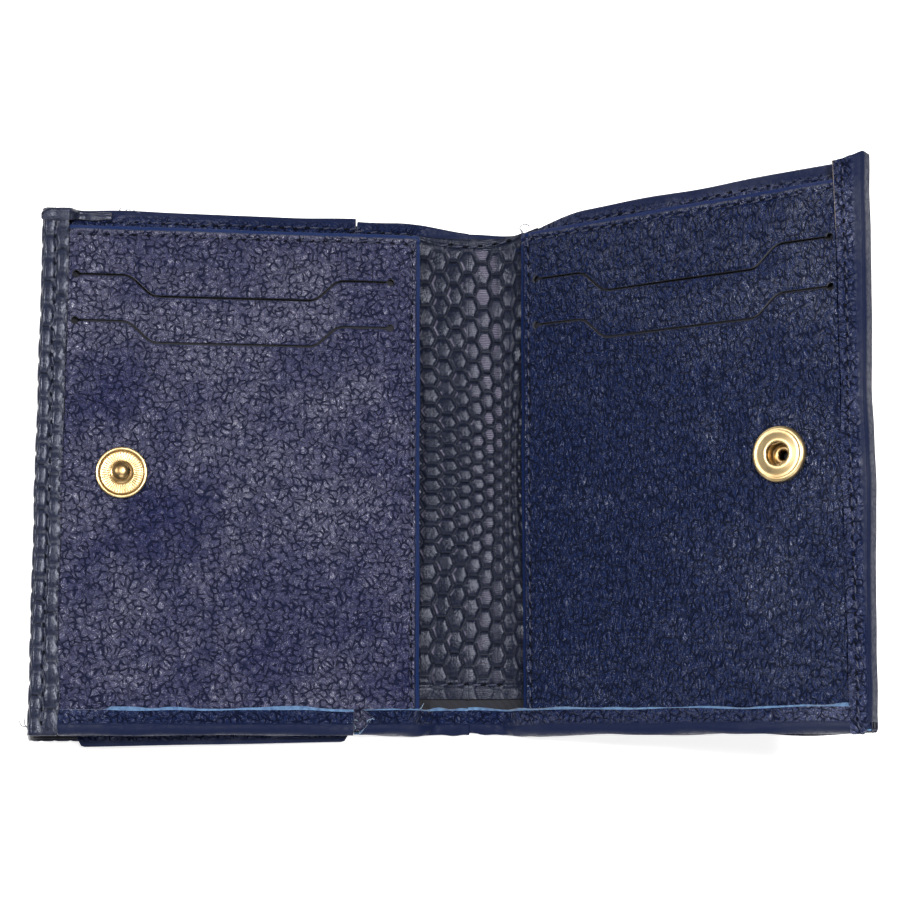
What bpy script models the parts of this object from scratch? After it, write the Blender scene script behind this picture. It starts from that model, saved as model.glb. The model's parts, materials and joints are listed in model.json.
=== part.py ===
"""Small leather wallet lying open: a wide spine, two card panels that fold towards each other, and a coin
pocket under the left panel, closed by a flap that wraps the left outer edge.

The origin is the centre of the spine's underside. +X runs across the open wallet, from the stud's panel to
the socket's, +Y towards the open top of the bill compartment, and +Z up from the table.

Each panel is modelled in its own frame, on its fold's axis: s runs outwards from the fold, y along it, and
h up from it, towards the cards. The coin pocket's front and flap share a frame of their own, because the
pocket is a wedge: there a runs outwards and b up. Sizes are in millimetres until they become vertices.
"""
from math import acos, asin, atan2, cos, pi, radians, sin

import bmesh
import bpy
from mathutils import Matrix, Vector

MM = 0.001
LEFT, RIGHT = -1, 1

# Folds and the pose in which the wallet lies
FOLD_X = 9.5                    # each fold's distance from the middle of the spine
FOLD_Z = 0.6                    # mid-thickness of the shell leather
LEFT_TILT = radians(7.28)       # the coin pocket props the left panel up
RIGHT_TILT = radians(33.06)     # the right panel stands half open
FOLD_CLEARANCE = 0.9            # bare leather each side of a fold

# Outline of the open wallet
SHELL_TOP = 57.5
SHELL_BOTTOM = -59.1
PANEL_EDGE = 86.65              # outer edge, measured from the fold
CORNER_RADIUS = 3.0
SHELL_THICKNESS = 1.2

# The stack of a panel, as heights above its fold's axis
INNER_WALL = (1.5, 1.9)
UPPER_POCKET = (2.1, 2.35)
LOWER_POCKET = (2.55, 2.8)
CARD_FACE = 3.8
CARD_BACK = 3.0
SKIVED_TOP = 3.3                # the card panel is pared thin where a hem lies on it
HEM = (3.6, 4.2)
HEM_WALL = 0.8
HEM_START = 3.0                 # the bottom hem begins this far from the fold

# Card panels
CARD_TOP = 53.7
HEM_LINE = -53.7                # the bottom hem's raw edge
CARD_GAP = 0.3
STACK_BOTTOM = -58.0
STACK_EDGE = 85.5
LEFT_CARD_START = 1.8
RIGHT_CARD_START = 5.2
LEFT_CARD_END = 80.0
RIGHT_CARD_END = 81.2

# Die-cut card slots: flat, down, flat, up, flat, with a punched hole at each end
SLOT_HEIGHTS = (42.5, 32.0)
SLOT_RUNS = (0.0, 10.8, 17.9, 52.3, 59.4, 70.2)
SLOT_DIP = 4.7
SLOT_HALF_WIDTH = 0.22
SLOT_HOLE_RADIUS = 0.75
LEFT_SLOT_INSET = 7.0
RIGHT_SLOT_INSET = 4.1
POCKET_RISE = 2.0               # a card pocket reaches this far above its slot
POCKET_INSET = 3.0

# Press stud and socket
SNAP_S = 67.7
SNAP_Y = -2.0
STUD_HOLE = 1.6
SOCKET_HOLE = 3.2
SOCKET_POST_HOLE = 1.8
SNAP_SEGMENTS = 32

# Spine strip
STRIP_HALF_WIDTH = 8.3
STRIP = (1.35, 1.95)
STRIP_TOP = 53.4
STRIP_BOTTOM = -51.3

# Coin pocket under the left panel
SHELL_END = 15.9                # the shell stops here and the pocket's back takes over
POCKET_START = 16.3
POCKET_STEP = 0.5               # the pocket's back stands this much above the shell's top edge
COIN_X = 26.4                   # the pocket frame's origin, left of the middle
COIN_SLOPE = radians(3.4)
COIN_SNAP_A = 49.0
COIN_SNAP_SCALE = 0.65
CAP_CLEARANCE = 0.1
COIN_FRONT = (4.0, 4.7)
COIN_MOUTH = 60.0
FRONT_BOTTOM = (-60.4, -61.6)   # at the fold side and at the mouth
FRONT_TOP = 56.0
GUSSET_START = 8.0
GUSSET_THICKNESS = 0.8
GUSSET_GAP = 0.25

# Coin flap
FLAP_HINGE = (86.7, -1.6)       # s and h of the line that it swings about
FLAP_LEATHER = (0.8, 1.5)
FLAP_LINING = (1.6, 1.9)
FLAP_END = 36.0
FLAP_REACH = 69.9
FLAP_BEND = 3.45
FLAP_ROOT = 7.55
FLAP_Y = (-60.2, 57.0)
FLAP_CORNER = 12.0

# Embossed strip round the left outer edge
EDGE_STRIP_FOOT = -0.9
EDGE_STRIP_WALL = 0.65

FINISHES = {
    "pebbled": ((0.012, 0.022, 0.085), 0.42, 0.0),
    "shell": ((0.012, 0.020, 0.072), 0.48, 0.0),
    "embossed": ((0.018, 0.022, 0.045), 0.40, 0.0),
    "lining": ((0.015, 0.018, 0.045), 0.85, 0.0),
    "gilt": ((0.86, 0.60, 0.25), 0.22, 1.0),
    "steel": ((0.60, 0.52, 0.36), 0.30, 1.0),
}


def material(name):
    """The Principled material of one finish, made once."""
    found = bpy.data.materials.get(name)
    if found:
        return found
    colour, roughness, metallic = FINISHES[name]
    made = bpy.data.materials.new(name)
    made.use_nodes = True
    shader = made.node_tree.nodes["Principled BSDF"]
    shader.inputs["Base Color"].default_value = (*colour, 1.0)
    shader.inputs["Roughness"].default_value = roughness
    shader.inputs["Metallic"].default_value = metallic
    return made


def add_object(name, data, parent, finish):
    """Link an object on its parent empty's origin and give it its finish."""
    item = bpy.data.objects.new(name, data)
    bpy.context.scene.collection.objects.link(item)
    item.parent = parent
    data.materials.append(material(finish))
    return item


def finish_mesh(name, bm, parent, finish, smooth_angle=None):
    """Turn a bmesh with its faces pointing out into a named object."""
    bm.normal_update()
    bmesh.ops.recalc_face_normals(bm, faces=bm.faces[:])
    mesh = bpy.data.meshes.new(name)
    bm.to_mesh(mesh)
    bm.free()
    if smooth_angle is not None:
        mesh.shade_smooth()
        mesh.set_sharp_from_angle(angle=smooth_angle)
    return add_object(name, mesh, parent, finish)


def frame(name, location, tilt, parent=None):
    """An empty at a place in world millimetres, turned about Y."""
    empty = bpy.data.objects.new(name, None)
    bpy.context.scene.collection.objects.link(empty)
    if parent:
        empty.parent = parent
        empty.matrix_parent_inverse = parent.matrix_basis.inverted()
    empty.location = Vector(location) * MM
    empty.rotation_euler = (0.0, tilt, 0.0)
    return empty


def rounded_outline(s0, s1, y0, y1, radii=(0.0, 0.0, 0.0, 0.0), steps=5):
    """A rectangle's outline with its own radius at each corner, from (s0, y0) anticlockwise."""
    corners = ((s0, y0, 1, 1), (s1, y0, -1, 1), (s1, y1, -1, -1), (s0, y1, 1, -1))
    points = []
    for turn, ((s, y, across, up), radius) in enumerate(zip(corners, radii)):
        if radius == 0.0:
            points.append((s, y))
            continue
        for step in range(steps + 1):
            angle = pi + turn * pi / 2 + step * pi / 2 / steps
            points.append((s + across * radius + radius * cos(angle), y + up * radius + radius * sin(angle)))
    return points


def circle(centre, radius, steps=24):
    return [(centre[0] + radius * cos(2 * pi * k / steps), centre[1] + radius * sin(2 * pi * k / steps))
            for k in range(steps)]


def slot_outline(start, height):
    """The closed outline of one die-cut slot with a round hole at each end."""
    dips = (0, 0, SLOT_DIP, SLOT_DIP, 0, 0)
    line = [Vector((start + run, height - dip)) for run, dip in zip(SLOT_RUNS, dips)]
    sides = {}
    for way in (-1, 1):
        side = []
        for index in range(1, len(line) - 1):
            before = (line[index] - line[index - 1]).normalized()
            after = (line[index + 1] - line[index]).normalized()
            middle = (before + after).normalized()
            across = Vector((-middle.y, middle.x))
            side.append(line[index] + across * way * SLOT_HALF_WIDTH / middle.dot(before))
        sides[way] = side
    mouth = asin(SLOT_HALF_WIDTH / SLOT_HOLE_RADIUS)

    def hole(centre, facing):
        sweep = 2 * pi - 2 * mouth
        return [centre + SLOT_HOLE_RADIUS * Vector((cos(facing + mouth + sweep * k / 12),
                                                    sin(facing + mouth + sweep * k / 12)))
                for k in range(13)]

    points = hole(line[0], 0.0) + sides[-1] + hole(line[-1], pi) + sides[1][::-1]
    return [tuple(point) for point in points]


def plate(name, side, outline, heights, parent, finish, holes=()):
    """A flat sheet with holes: the outline is filled in the panel's plane and extruded along h."""
    bm = bmesh.new()
    for loop in (outline, *holes):
        verts = [bm.verts.new((side * s * MM, y * MM, heights[0] * MM)) for s, y in loop]
        for first, second in zip(verts, verts[1:] + verts[:1]):
            bm.edges.new((first, second))
    bmesh.ops.triangle_fill(bm, use_beauty=True, edges=bm.edges[:])
    grown = bmesh.ops.extrude_face_region(bm, geom=bm.faces[:])["geom"]
    raised = [item for item in grown if isinstance(item, bmesh.types.BMVert)]
    bmesh.ops.translate(bm, verts=raised, vec=(0.0, 0.0, (heights[1] - heights[0]) * MM))
    return finish_mesh(name, bm, parent, finish)


def prism(name, side, section, y_range, parent, finish):
    """A section in the plane across the fold, extruded along y."""
    bm = bmesh.new()
    verts = [bm.verts.new((side * s * MM, y_range[0] * MM, h * MM)) for s, h in section]
    face = bm.faces.new(verts)
    grown = bmesh.ops.extrude_face_region(bm, geom=[face])["geom"]
    far = [item for item in grown if isinstance(item, bmesh.types.BMVert)]
    bmesh.ops.translate(bm, verts=far, vec=(0.0, (y_range[1] - y_range[0]) * MM, 0.0))
    return finish_mesh(name, bm, parent, finish)


def turned(name, side, profile, centre, parent, finish, scale=1.0, way=1, segments=SNAP_SEGMENTS):
    """A round part: (radius, height) points spun about an axis that stands on the sheet at centre.

    A profile that starts and ends on the axis is a solid, and any other is closed into a ring.
    """
    bm = bmesh.new()
    verts = [bm.verts.new((radius * scale * MM, 0.0, way * height * scale * MM)) for radius, height in profile]
    ring = profile[0][0] > 0.0
    ends = verts[1:] + (verts[:1] if ring else [])
    edges = [bm.edges.new(pair) for pair in zip(verts, ends)]
    bmesh.ops.spin(bm, geom=verts + edges, cent=(0, 0, 0), axis=(0, 0, 1), angle=2 * pi, steps=segments,
                   use_merge=True)
    bmesh.ops.remove_doubles(bm, verts=bm.verts[:], dist=1e-7)
    s, y, h = centre
    bmesh.ops.translate(bm, verts=bm.verts[:], vec=Vector((side * s, y, h)) * MM)
    return finish_mesh(name, bm, parent, finish, smooth_angle=radians(40))


def cut(item, name, side, low, high, parent):
    """Cut a box, given by its low and high corners in the panel's frame, out of an item."""
    bm = bmesh.new()
    bmesh.ops.create_cube(bm, size=1.0)
    for vert in bm.verts:
        place = [lo + (corner + 0.5) * (hi - lo) for lo, hi, corner in zip(low, high, vert.co)]
        vert.co = Vector((side * place[0], place[1], place[2])) * MM
    cutter = finish_mesh(name, bm, parent, "shell")
    cutter.hide_render = True
    cutter.display_type = "WIRE"
    boolean = item.modifiers.new(name, "BOOLEAN")
    boolean.operation = "DIFFERENCE"
    boolean.solver = "EXACT"
    boolean.object = cutter


STUD_PROFILE = (
    (0.0, 0.1), (5.2, 0.1), (5.65, 0.3), (5.7, 0.55), (5.5, 0.8), (5.1, 0.85), (4.8, 0.65), (2.7, 0.6),
    (2.4, 0.9), (1.8, 1.0), (1.4, 1.3), (1.4, 1.95), (1.62, 2.25), (2.0, 2.7), (2.1, 3.1), (1.95, 3.55),
    (1.45, 3.95), (0.7, 4.1), (0.0, 4.1),
)

SOCKET_PROFILE = (
    (2.45, 0.9), (3.7, 0.9), (3.7, 1.6), (2.45, 1.6), (2.6, 1.85), (3.5, 1.85), (4.2, 1.25), (4.7, 1.1),
    (5.2, 1.3), (5.6, 1.25), (5.9, 0.9), (5.85, 0.4), (5.5, 0.1), (2.9, 0.1), (2.9, -1.8), (1.75, -1.8),
    (1.75, -1.55), (2.45, -1.55),
)

STUD_POST_PROFILE = ((0.0, -2.8), (4.2, -2.8), (4.4, -2.6), (4.2, -2.45), (1.3, -2.4), (1.3, -0.1), (0.0, -0.1))

SOCKET_POST_PROFILE = (
    (1.05, -2.75), (4.4, -2.75), (4.6, -2.55), (4.4, -2.4), (1.5, -2.4), (1.5, -1.5), (2.05, -1.45),
    (2.1, -1.3), (1.9, -1.2), (1.3, -1.2), (1.05, -1.35),
)

CAP_PROFILE = (
    (0.0, 0.0), (2.5, 0.06), (4.0, 0.22), (4.5, 0.45), (4.3, 0.7), (1.0, 0.7), (1.0, 0.98), (1.36, 1.0),
    (1.36, 1.15), (0.7, 1.17), (0.65, 0.5), (0.0, 0.5),
)

SPRING_CHORD = 2.05
SPRING_ARC = 3.4
SPRING_WIRE = 0.2
SPRING_HEIGHT = 1.25


def wire_spring(name, side, centre, parent, scale=1.0, way=1):
    """The socket's wire: two chords that grip the stud's neck, joined by an arc inside the groove."""
    reach = acos(SPRING_CHORD / SPRING_ARC)
    half = SPRING_ARC * sin(reach)
    points = [(-half, SPRING_CHORD), (0.0, SPRING_CHORD)]
    turn = pi / 2 - reach
    points += [(SPRING_ARC * cos(turn * (1 - k / 6)), SPRING_ARC * sin(turn * (1 - k / 6))) for k in range(13)]
    points += [(0.0, -SPRING_CHORD), (-half, -SPRING_CHORD)]
    curve = bpy.data.curves.new(name, "CURVE")
    curve.dimensions = "3D"
    curve.bevel_depth = SPRING_WIRE * scale * MM
    curve.bevel_resolution = 1
    curve.use_fill_caps = True
    spline = curve.splines.new("POLY")
    spline.points.add(len(points) - 1)
    for point, (across, up) in zip(spline.points, points):
        place = Vector((side * centre[0] + across * scale, centre[1] + up * scale,
                        centre[2] + way * SPRING_HEIGHT * scale))
        point.co = (*(place * MM), 1.0)
    return add_object(name, curve, parent, "steel")


def make_spine():
    """The shell's spine section with the embossed strip above it."""
    root = frame("spine_frame", (0.0, 0.0, 0.0), 0.0)
    half = FOLD_X - FOLD_CLEARANCE
    plate("spine_shell", RIGHT, rounded_outline(-half, half, SHELL_BOTTOM + 0.6, SHELL_TOP - 1.2),
          (0.0, SHELL_THICKNESS), root, "shell")
    plate("spine_strip", RIGHT, rounded_outline(-STRIP_HALF_WIDTH, STRIP_HALF_WIDTH, STRIP_BOTTOM, STRIP_TOP),
          STRIP, root, "embossed")


def make_card_stack(prefix, side, parent, start, end, slot_inset, face_hole, back_hole):
    """Inner wall, two card pockets and the card panel with its slots."""
    snap = (SNAP_S, SNAP_Y)
    stack_start = max(start, LEFT_CARD_START + 0.5)
    plate(prefix + "_inner_wall", side,
          rounded_outline(stack_start, STACK_EDGE, STACK_BOTTOM, CARD_TOP - 1.0), INNER_WALL, parent, "lining",
          [circle(snap, back_hole)])
    for name, heights, slot in (("upper", UPPER_POCKET, SLOT_HEIGHTS[0]), ("lower", LOWER_POCKET, SLOT_HEIGHTS[1])):
        outline = rounded_outline(start + POCKET_INSET, end - POCKET_INSET, STACK_BOTTOM + 1.0, slot + POCKET_RISE)
        plate(f"{prefix}_{name}_pocket", side, outline, heights, parent, "lining", [circle(snap, face_hole)])
    slots = [slot_outline(start + slot_inset, height) for height in SLOT_HEIGHTS]
    panel = plate(prefix + "_card_panel", side, rounded_outline(start, STACK_EDGE, STACK_BOTTOM, CARD_TOP),
                  (CARD_BACK, CARD_FACE), parent, "pebbled", slots + [circle(snap, face_hole)])
    pared = (SKIVED_TOP, CARD_FACE + 1.0)
    cut(panel, prefix + "_side_paring", side, (end - CARD_GAP, STACK_BOTTOM - 2.0, pared[0]),
        (STACK_EDGE + 2.0, CARD_TOP + 2.0, pared[1]), parent)
    cut(panel, prefix + "_bottom_paring", side, (start - 2.0, STACK_BOTTOM - 2.0, pared[0]),
        (STACK_EDGE + 2.0, HEM_LINE + CARD_GAP, pared[1]), parent)


def hemmed_shell(name, side, parent, start, edge, top, radii, side_hem=None, hem_end=None):
    """A shell panel whose leather is turned up round its bottom edge and lies on the card panel there.

    side_hem is the raw edge of a side hem, where the panel has one. Past hem_end the sheet stays flat.
    """
    bottom = -SHELL_THICKNESS / 2
    shell = plate(name, side, rounded_outline(start, edge, SHELL_BOTTOM, top, radii), (bottom, HEM[1]), parent,
                  "shell")
    far = edge - HEM_WALL if side_hem else edge + 2.0
    cut(shell, name + "_hollow", side, (start - 2.0, SHELL_BOTTOM + HEM_WALL, SHELL_THICKNESS / 2),
        (far, top + 2.0, HEM[0]), parent)
    cut(shell, name + "_window", side, (start - 2.0, HEM_LINE, HEM[0] - 0.2),
        (side_hem or edge + 2.0, top + 2.0, HEM[1] + 2.0), parent)
    if start < HEM_START:
        cut(shell, name + "_fold_relief", side, (start - 2.0, SHELL_BOTTOM - 2.0, SHELL_THICKNESS / 2),
            (HEM_START, top + 2.0, HEM[1] + 2.0), parent)
    if hem_end:
        cut(shell, name + "_strip_relief", side, (hem_end, SHELL_BOTTOM - 2.0, SHELL_THICKNESS / 2),
            (edge + 2.0, top + 2.0, HEM[1] + 2.0), parent)


def make_right_panel():
    fold = frame("right_fold", (FOLD_X, 0.0, FOLD_Z), -RIGHT_TILT)
    hemmed_shell("right_shell", RIGHT, fold, FOLD_CLEARANCE, PANEL_EDGE, SHELL_TOP,
                 (0.0, CORNER_RADIUS, 0.0, 0.0), side_hem=RIGHT_CARD_END)
    make_card_stack("right", RIGHT, fold, RIGHT_CARD_START, RIGHT_CARD_END, RIGHT_SLOT_INSET, SOCKET_HOLE,
                    SOCKET_POST_HOLE)
    place = (SNAP_S, SNAP_Y, CARD_FACE)
    turned("snap_socket", RIGHT, SOCKET_PROFILE, place, fold, "gilt")
    turned("socket_post", RIGHT, SOCKET_POST_PROFILE, place, fold, "gilt")
    wire_spring("socket_spring", RIGHT, place, fold)


def make_left_panel():
    fold = frame("left_fold", (-FOLD_X, 0.0, FOLD_Z), LEFT_TILT)
    hemmed_shell("left_shell", LEFT, fold, FOLD_CLEARANCE, SHELL_END, SHELL_TOP, (0.0, 0.0, 0.0, 0.0))
    hemmed_shell("coin_pocket_back", LEFT, fold, POCKET_START, STACK_EDGE, SHELL_TOP + POCKET_STEP,
                 (0.0, 0.0, 0.0, 0.0), hem_end=LEFT_CARD_END - CARD_GAP)
    make_card_stack("left", LEFT, fold, LEFT_CARD_START, LEFT_CARD_END, LEFT_SLOT_INSET, STUD_HOLE, STUD_HOLE)
    inner = PANEL_EDGE - EDGE_STRIP_WALL
    section = ((inner, EDGE_STRIP_FOOT), (PANEL_EDGE, EDGE_STRIP_FOOT), (PANEL_EDGE, HEM[1] - 0.3),
               (PANEL_EDGE - 0.3, HEM[1]), (LEFT_CARD_END, HEM[1]), (LEFT_CARD_END, HEM[0]), (inner, HEM[0]))
    prism("edge_strip", LEFT, section, (SHELL_BOTTOM, SHELL_TOP), fold, "embossed")
    place = (SNAP_S, SNAP_Y, CARD_FACE)
    turned("snap_stud", LEFT, STUD_PROFILE, place, fold, "gilt")
    turned("stud_post", LEFT, STUD_POST_PROFILE, place, fold, "gilt")
    return fold


def left_to_coin(s, h):
    """A point of the left panel's frame in the coin pocket's frame."""
    x = FOLD_X + s * cos(LEFT_TILT) - h * sin(LEFT_TILT) - COIN_X
    z = FOLD_Z + s * sin(LEFT_TILT) + h * cos(LEFT_TILT) - coin_origin_z()
    return (x * cos(COIN_SLOPE) + z * sin(COIN_SLOPE), -x * sin(COIN_SLOPE) + z * cos(COIN_SLOPE))


def coin_origin_z():
    """The pocket frame's height, with the flap's cap just clear of the table."""
    return CAP_CLEARANCE - COIN_SNAP_A * sin(COIN_SLOPE)


def make_coin_pocket(fold):
    pocket = frame("coin_frame", (-COIN_X, 0.0, coin_origin_z()), COIN_SLOPE, fold)
    snap = (COIN_SNAP_A, SNAP_Y)
    front = rounded_outline(0.0, COIN_MOUTH, FRONT_BOTTOM[0], FRONT_TOP, (1.0, 2.0, 2.0, 1.0))
    lean = (FRONT_BOTTOM[1] - FRONT_BOTTOM[0]) / COIN_MOUTH
    front = [(a, y + lean * a if y < 0 else y) for a, y in front]
    plate("coin_pocket_front", LEFT, front, COIN_FRONT, pocket, "shell",
          [circle(snap, STUD_HOLE * COIN_SNAP_SCALE)])
    ceiling = [left_to_coin(s, -SHELL_THICKNESS / 2) for s in (COIN_X - FOLD_X + GUSSET_START, STACK_EDGE - 9.5)]
    floor = COIN_FRONT[1] + GUSSET_GAP
    section = ((ceiling[0][0], floor), (ceiling[1][0], floor), (ceiling[1][0], ceiling[1][1] - GUSSET_GAP),
               (ceiling[0][0], ceiling[0][1] - GUSSET_GAP))
    for name, low in (("bottom", SHELL_BOTTOM + 0.3), ("top", FRONT_TOP - 1.4)):
        prism("coin_gusset_" + name, LEFT, section, (low, low + GUSSET_THICKNESS), pocket, "lining")
    base = (COIN_SNAP_A, SNAP_Y, COIN_FRONT[0])
    turned("coin_snap_stud", LEFT, STUD_PROFILE, base, pocket, "gilt", COIN_SNAP_SCALE, -1, 24)
    post = [(radius, -0.1 if height == -0.1 else height + 1.2) for radius, height in STUD_POST_PROFILE]
    turned("coin_stud_post", LEFT, post, base, pocket, "gilt", COIN_SNAP_SCALE, -1, 24)


def make_coin_flap(fold):
    """The flap on its hinge line, closed under the coin pocket."""
    hinge_a, hinge_b = left_to_coin(*FLAP_HINGE)
    x = COIN_X + hinge_a * cos(COIN_SLOPE) - hinge_b * sin(COIN_SLOPE)
    z = coin_origin_z() + hinge_a * sin(COIN_SLOPE) + hinge_b * cos(COIN_SLOPE)
    hinge = frame("coin_flap_hinge", (-x, 0.0, z), COIN_SLOPE, fold)

    def flap_sheet(name, heights, finish, hole):
        """One layer of the flap: flat from its rounded free end, then bent up to the hinge line."""
        middle, half = sum(heights) / 2, (heights[1] - heights[0]) / 2
        flap_middle = sum(FLAP_LEATHER) / 2
        radius = FLAP_BEND - (middle - flap_middle)
        centre = (FLAP_REACH - FLAP_BEND, flap_middle + FLAP_BEND)
        stations = []
        for step in range(7):
            angle = step * pi / 2 / 6
            a = FLAP_END + FLAP_CORNER * (1 - cos(angle))
            inset = FLAP_CORNER * (1 - sin(angle))
            stations.append(((a, middle), (0.0, 1.0), inset))
        for step in range(7):
            angle = step * pi / 2 / 6
            around = (sin(angle), -cos(angle))
            stations.append(((centre[0] + radius * around[0], centre[1] + radius * around[1]),
                             (-around[0], -around[1]), 0.0))
        stations.append(((centre[0] + radius, FLAP_ROOT), (-1.0, 0.0), 0.0))
        bm = bmesh.new()
        rings = []
        for (a, b), (out_a, out_b), inset in stations:
            corners = []
            for way, y in ((-1, FLAP_Y[0] + inset), (-1, FLAP_Y[1] - inset), (1, FLAP_Y[1] - inset),
                           (1, FLAP_Y[0] + inset)):
                place = Vector((-(a + way * half * out_a - hinge_a), y, b + way * half * out_b - hinge_b))
                corners.append(bm.verts.new(place * MM))
            rings.append(corners)
        for near, far in zip(rings, rings[1:]):
            for k in range(4):
                bm.faces.new((near[k], near[(k + 1) % 4], far[(k + 1) % 4], far[k]))
        bm.faces.new(rings[0])
        bm.faces.new(rings[-1])
        sheet = finish_mesh(name, bm, hinge, finish)
        drill = bmesh.new()
        bmesh.ops.create_cone(drill, cap_ends=True, segments=24, radius1=hole * MM, radius2=hole * MM,
                              depth=4.0 * MM)
        place = Vector((-(COIN_SNAP_A - hinge_a), SNAP_Y, middle - hinge_b)) * MM
        bmesh.ops.translate(drill, verts=drill.verts[:], vec=place)
        cutter = finish_mesh(name + "_drill", drill, hinge, finish)
        cutter.hide_render = True
        cutter.display_type = "WIRE"
        boolean = sheet.modifiers.new("drill", "BOOLEAN")
        boolean.operation = "DIFFERENCE"
        boolean.solver = "EXACT"
        boolean.object = cutter

    hole = SOCKET_HOLE * COIN_SNAP_SCALE
    flap_sheet("coin_flap", FLAP_LEATHER, "embossed", hole)
    flap_sheet("coin_flap_lining", FLAP_LINING, "lining", hole)
    across = COIN_SNAP_A - hinge_a
    seat = (across, SNAP_Y, FLAP_LINING[1] + 0.05 - hinge_b)
    turned("coin_snap_socket", LEFT, SOCKET_PROFILE, seat, hinge, "gilt", COIN_SNAP_SCALE, 1, 24)
    wire_spring("coin_socket_spring", LEFT, seat, hinge, COIN_SNAP_SCALE)
    turned("coin_snap_cap", LEFT, CAP_PROFILE, (across, SNAP_Y, -hinge_b), hinge, "gilt", 1.0, 1, 24)


def main():
    for item in list(bpy.data.objects):
        bpy.data.objects.remove(item, do_unlink=True)
    make_spine()
    make_right_panel()
    fold = make_left_panel()
    make_coin_pocket(fold)
    make_coin_flap(fold)


main()
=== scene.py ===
"""Small navy leather wallet lying open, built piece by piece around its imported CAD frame.

Every leather part is a sheet with a real thickness: an outer skin laid out on a grid, an inner skin one
thickness behind it, and a rounded or raw edge between them. Sizes are in millimetres in a panel's own
frame (d or s across the fold, y along it, h up from it) until a piece becomes a mesh, in metres.
"""

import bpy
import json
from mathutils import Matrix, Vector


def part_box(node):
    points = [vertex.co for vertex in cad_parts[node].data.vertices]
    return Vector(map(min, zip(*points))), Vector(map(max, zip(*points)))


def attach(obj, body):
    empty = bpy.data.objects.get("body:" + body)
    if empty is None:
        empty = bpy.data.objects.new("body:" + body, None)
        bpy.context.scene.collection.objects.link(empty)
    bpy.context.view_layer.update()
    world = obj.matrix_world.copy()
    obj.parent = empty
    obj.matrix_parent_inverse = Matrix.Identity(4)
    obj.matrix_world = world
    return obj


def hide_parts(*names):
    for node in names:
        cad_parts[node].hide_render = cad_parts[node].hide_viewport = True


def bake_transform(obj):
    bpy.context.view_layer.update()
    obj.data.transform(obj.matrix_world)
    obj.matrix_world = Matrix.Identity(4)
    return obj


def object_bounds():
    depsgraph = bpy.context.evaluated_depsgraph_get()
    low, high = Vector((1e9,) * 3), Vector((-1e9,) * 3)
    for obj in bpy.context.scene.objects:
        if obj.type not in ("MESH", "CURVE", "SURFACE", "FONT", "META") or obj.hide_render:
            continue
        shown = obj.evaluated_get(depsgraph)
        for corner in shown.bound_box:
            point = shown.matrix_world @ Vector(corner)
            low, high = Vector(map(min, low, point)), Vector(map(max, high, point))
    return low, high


bl_info = {
    "name": "Folding Wallet Maker",
    "version": (1, 0, 0),
    "blender": (4, 5, 0),
    "location": "View3D > Sidebar > Wallet",
    "description": "Builds a stitched leather wallet with card slots, press studs and a coin pocket",
    "category": "Object",
}

import json
from math import acos, asin, atan2, cos, pi, radians, sin

import bmesh
import bpy
import numpy as np
from bpy.props import FloatProperty, IntProperty, StringProperty
from mathutils import Matrix, Vector

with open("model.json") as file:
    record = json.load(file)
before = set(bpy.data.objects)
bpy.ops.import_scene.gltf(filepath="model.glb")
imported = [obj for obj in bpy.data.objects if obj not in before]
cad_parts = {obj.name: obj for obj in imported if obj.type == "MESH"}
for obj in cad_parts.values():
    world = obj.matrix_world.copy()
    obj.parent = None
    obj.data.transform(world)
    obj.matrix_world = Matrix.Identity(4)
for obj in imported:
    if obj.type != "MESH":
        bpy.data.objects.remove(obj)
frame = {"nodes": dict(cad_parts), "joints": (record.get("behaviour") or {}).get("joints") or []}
CAD_BOX = [list(corner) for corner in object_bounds()]

MM = 0.001
LEFT, RIGHT = -1, 1
SIDE_NAME = {LEFT: "left", RIGHT: "right"}
PANEL = {LEFT: "left_panel", RIGHT: "right_panel"}
UV_NAME = "leather_mm"
RIB_PITCH = 0.42            # hair ribs across the scales; about 0.33 on real hides, widened so they show
STITCH_SPACING = 2.95       # the leather puckers once for each stitch
FINISH = {}                 # materials by finish, filled in by ready()


# ------------------------------------------------------------------ the frame's own geometry
def joint_place(name):
    return [j for j in frame["joints"] if j["name"] == name][0]["pos_m"]


def mesh_points(node):
    mesh = frame["nodes"][node].data
    points = np.empty(len(mesh.vertices) * 3)
    mesh.vertices.foreach_get("co", points)
    return points.reshape(-1, 3) / MM


def tilt_of(node):
    """The angle about Y of a flat node's upper faces, from their area-weighted normal."""
    total = Vector()
    for face in frame["nodes"][node].data.polygons:
        if face.normal.z > 0.75:        # its side walls tilt by less than this
            total += face.normal * face.area
    return atan2(abs(total.x), total.z)


FOLD_X = abs(joint_place("right_fold")[0]) / MM
FOLD_Z = joint_place("right_fold")[2] / MM
TILT = {LEFT: tilt_of("left_card_panel"), RIGHT: tilt_of("right_card_panel")}
FOLD_REACH = 4.0            # leather bends over this much on each side of a fold


def panel_span(node, side):
    """Lowest and highest (s, y, h) of a node in its panel's frame."""
    points = mesh_points(node)
    across, up, tilt = side * points[:, 0] - FOLD_X, points[:, 2] - FOLD_Z, TILT[side]
    s = across * cos(tilt) + up * sin(tilt)
    h = -across * sin(tilt) + up * cos(tilt)
    local = np.stack([s, points[:, 1], h], axis=1)
    return local.min(axis=0), local.max(axis=0)


def on_panel(side, s, y, h):
    """World place of points in a panel's frame, in millimetres."""
    s, y, h = np.broadcast_arrays(np.asarray(s, float), y, h)
    tilt = TILT[side]
    x = FOLD_X + s * cos(tilt) - h * sin(tilt)
    z = FOLD_Z + s * sin(tilt) + h * cos(tilt)
    return np.stack([side * x, y, z], axis=-1)


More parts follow.
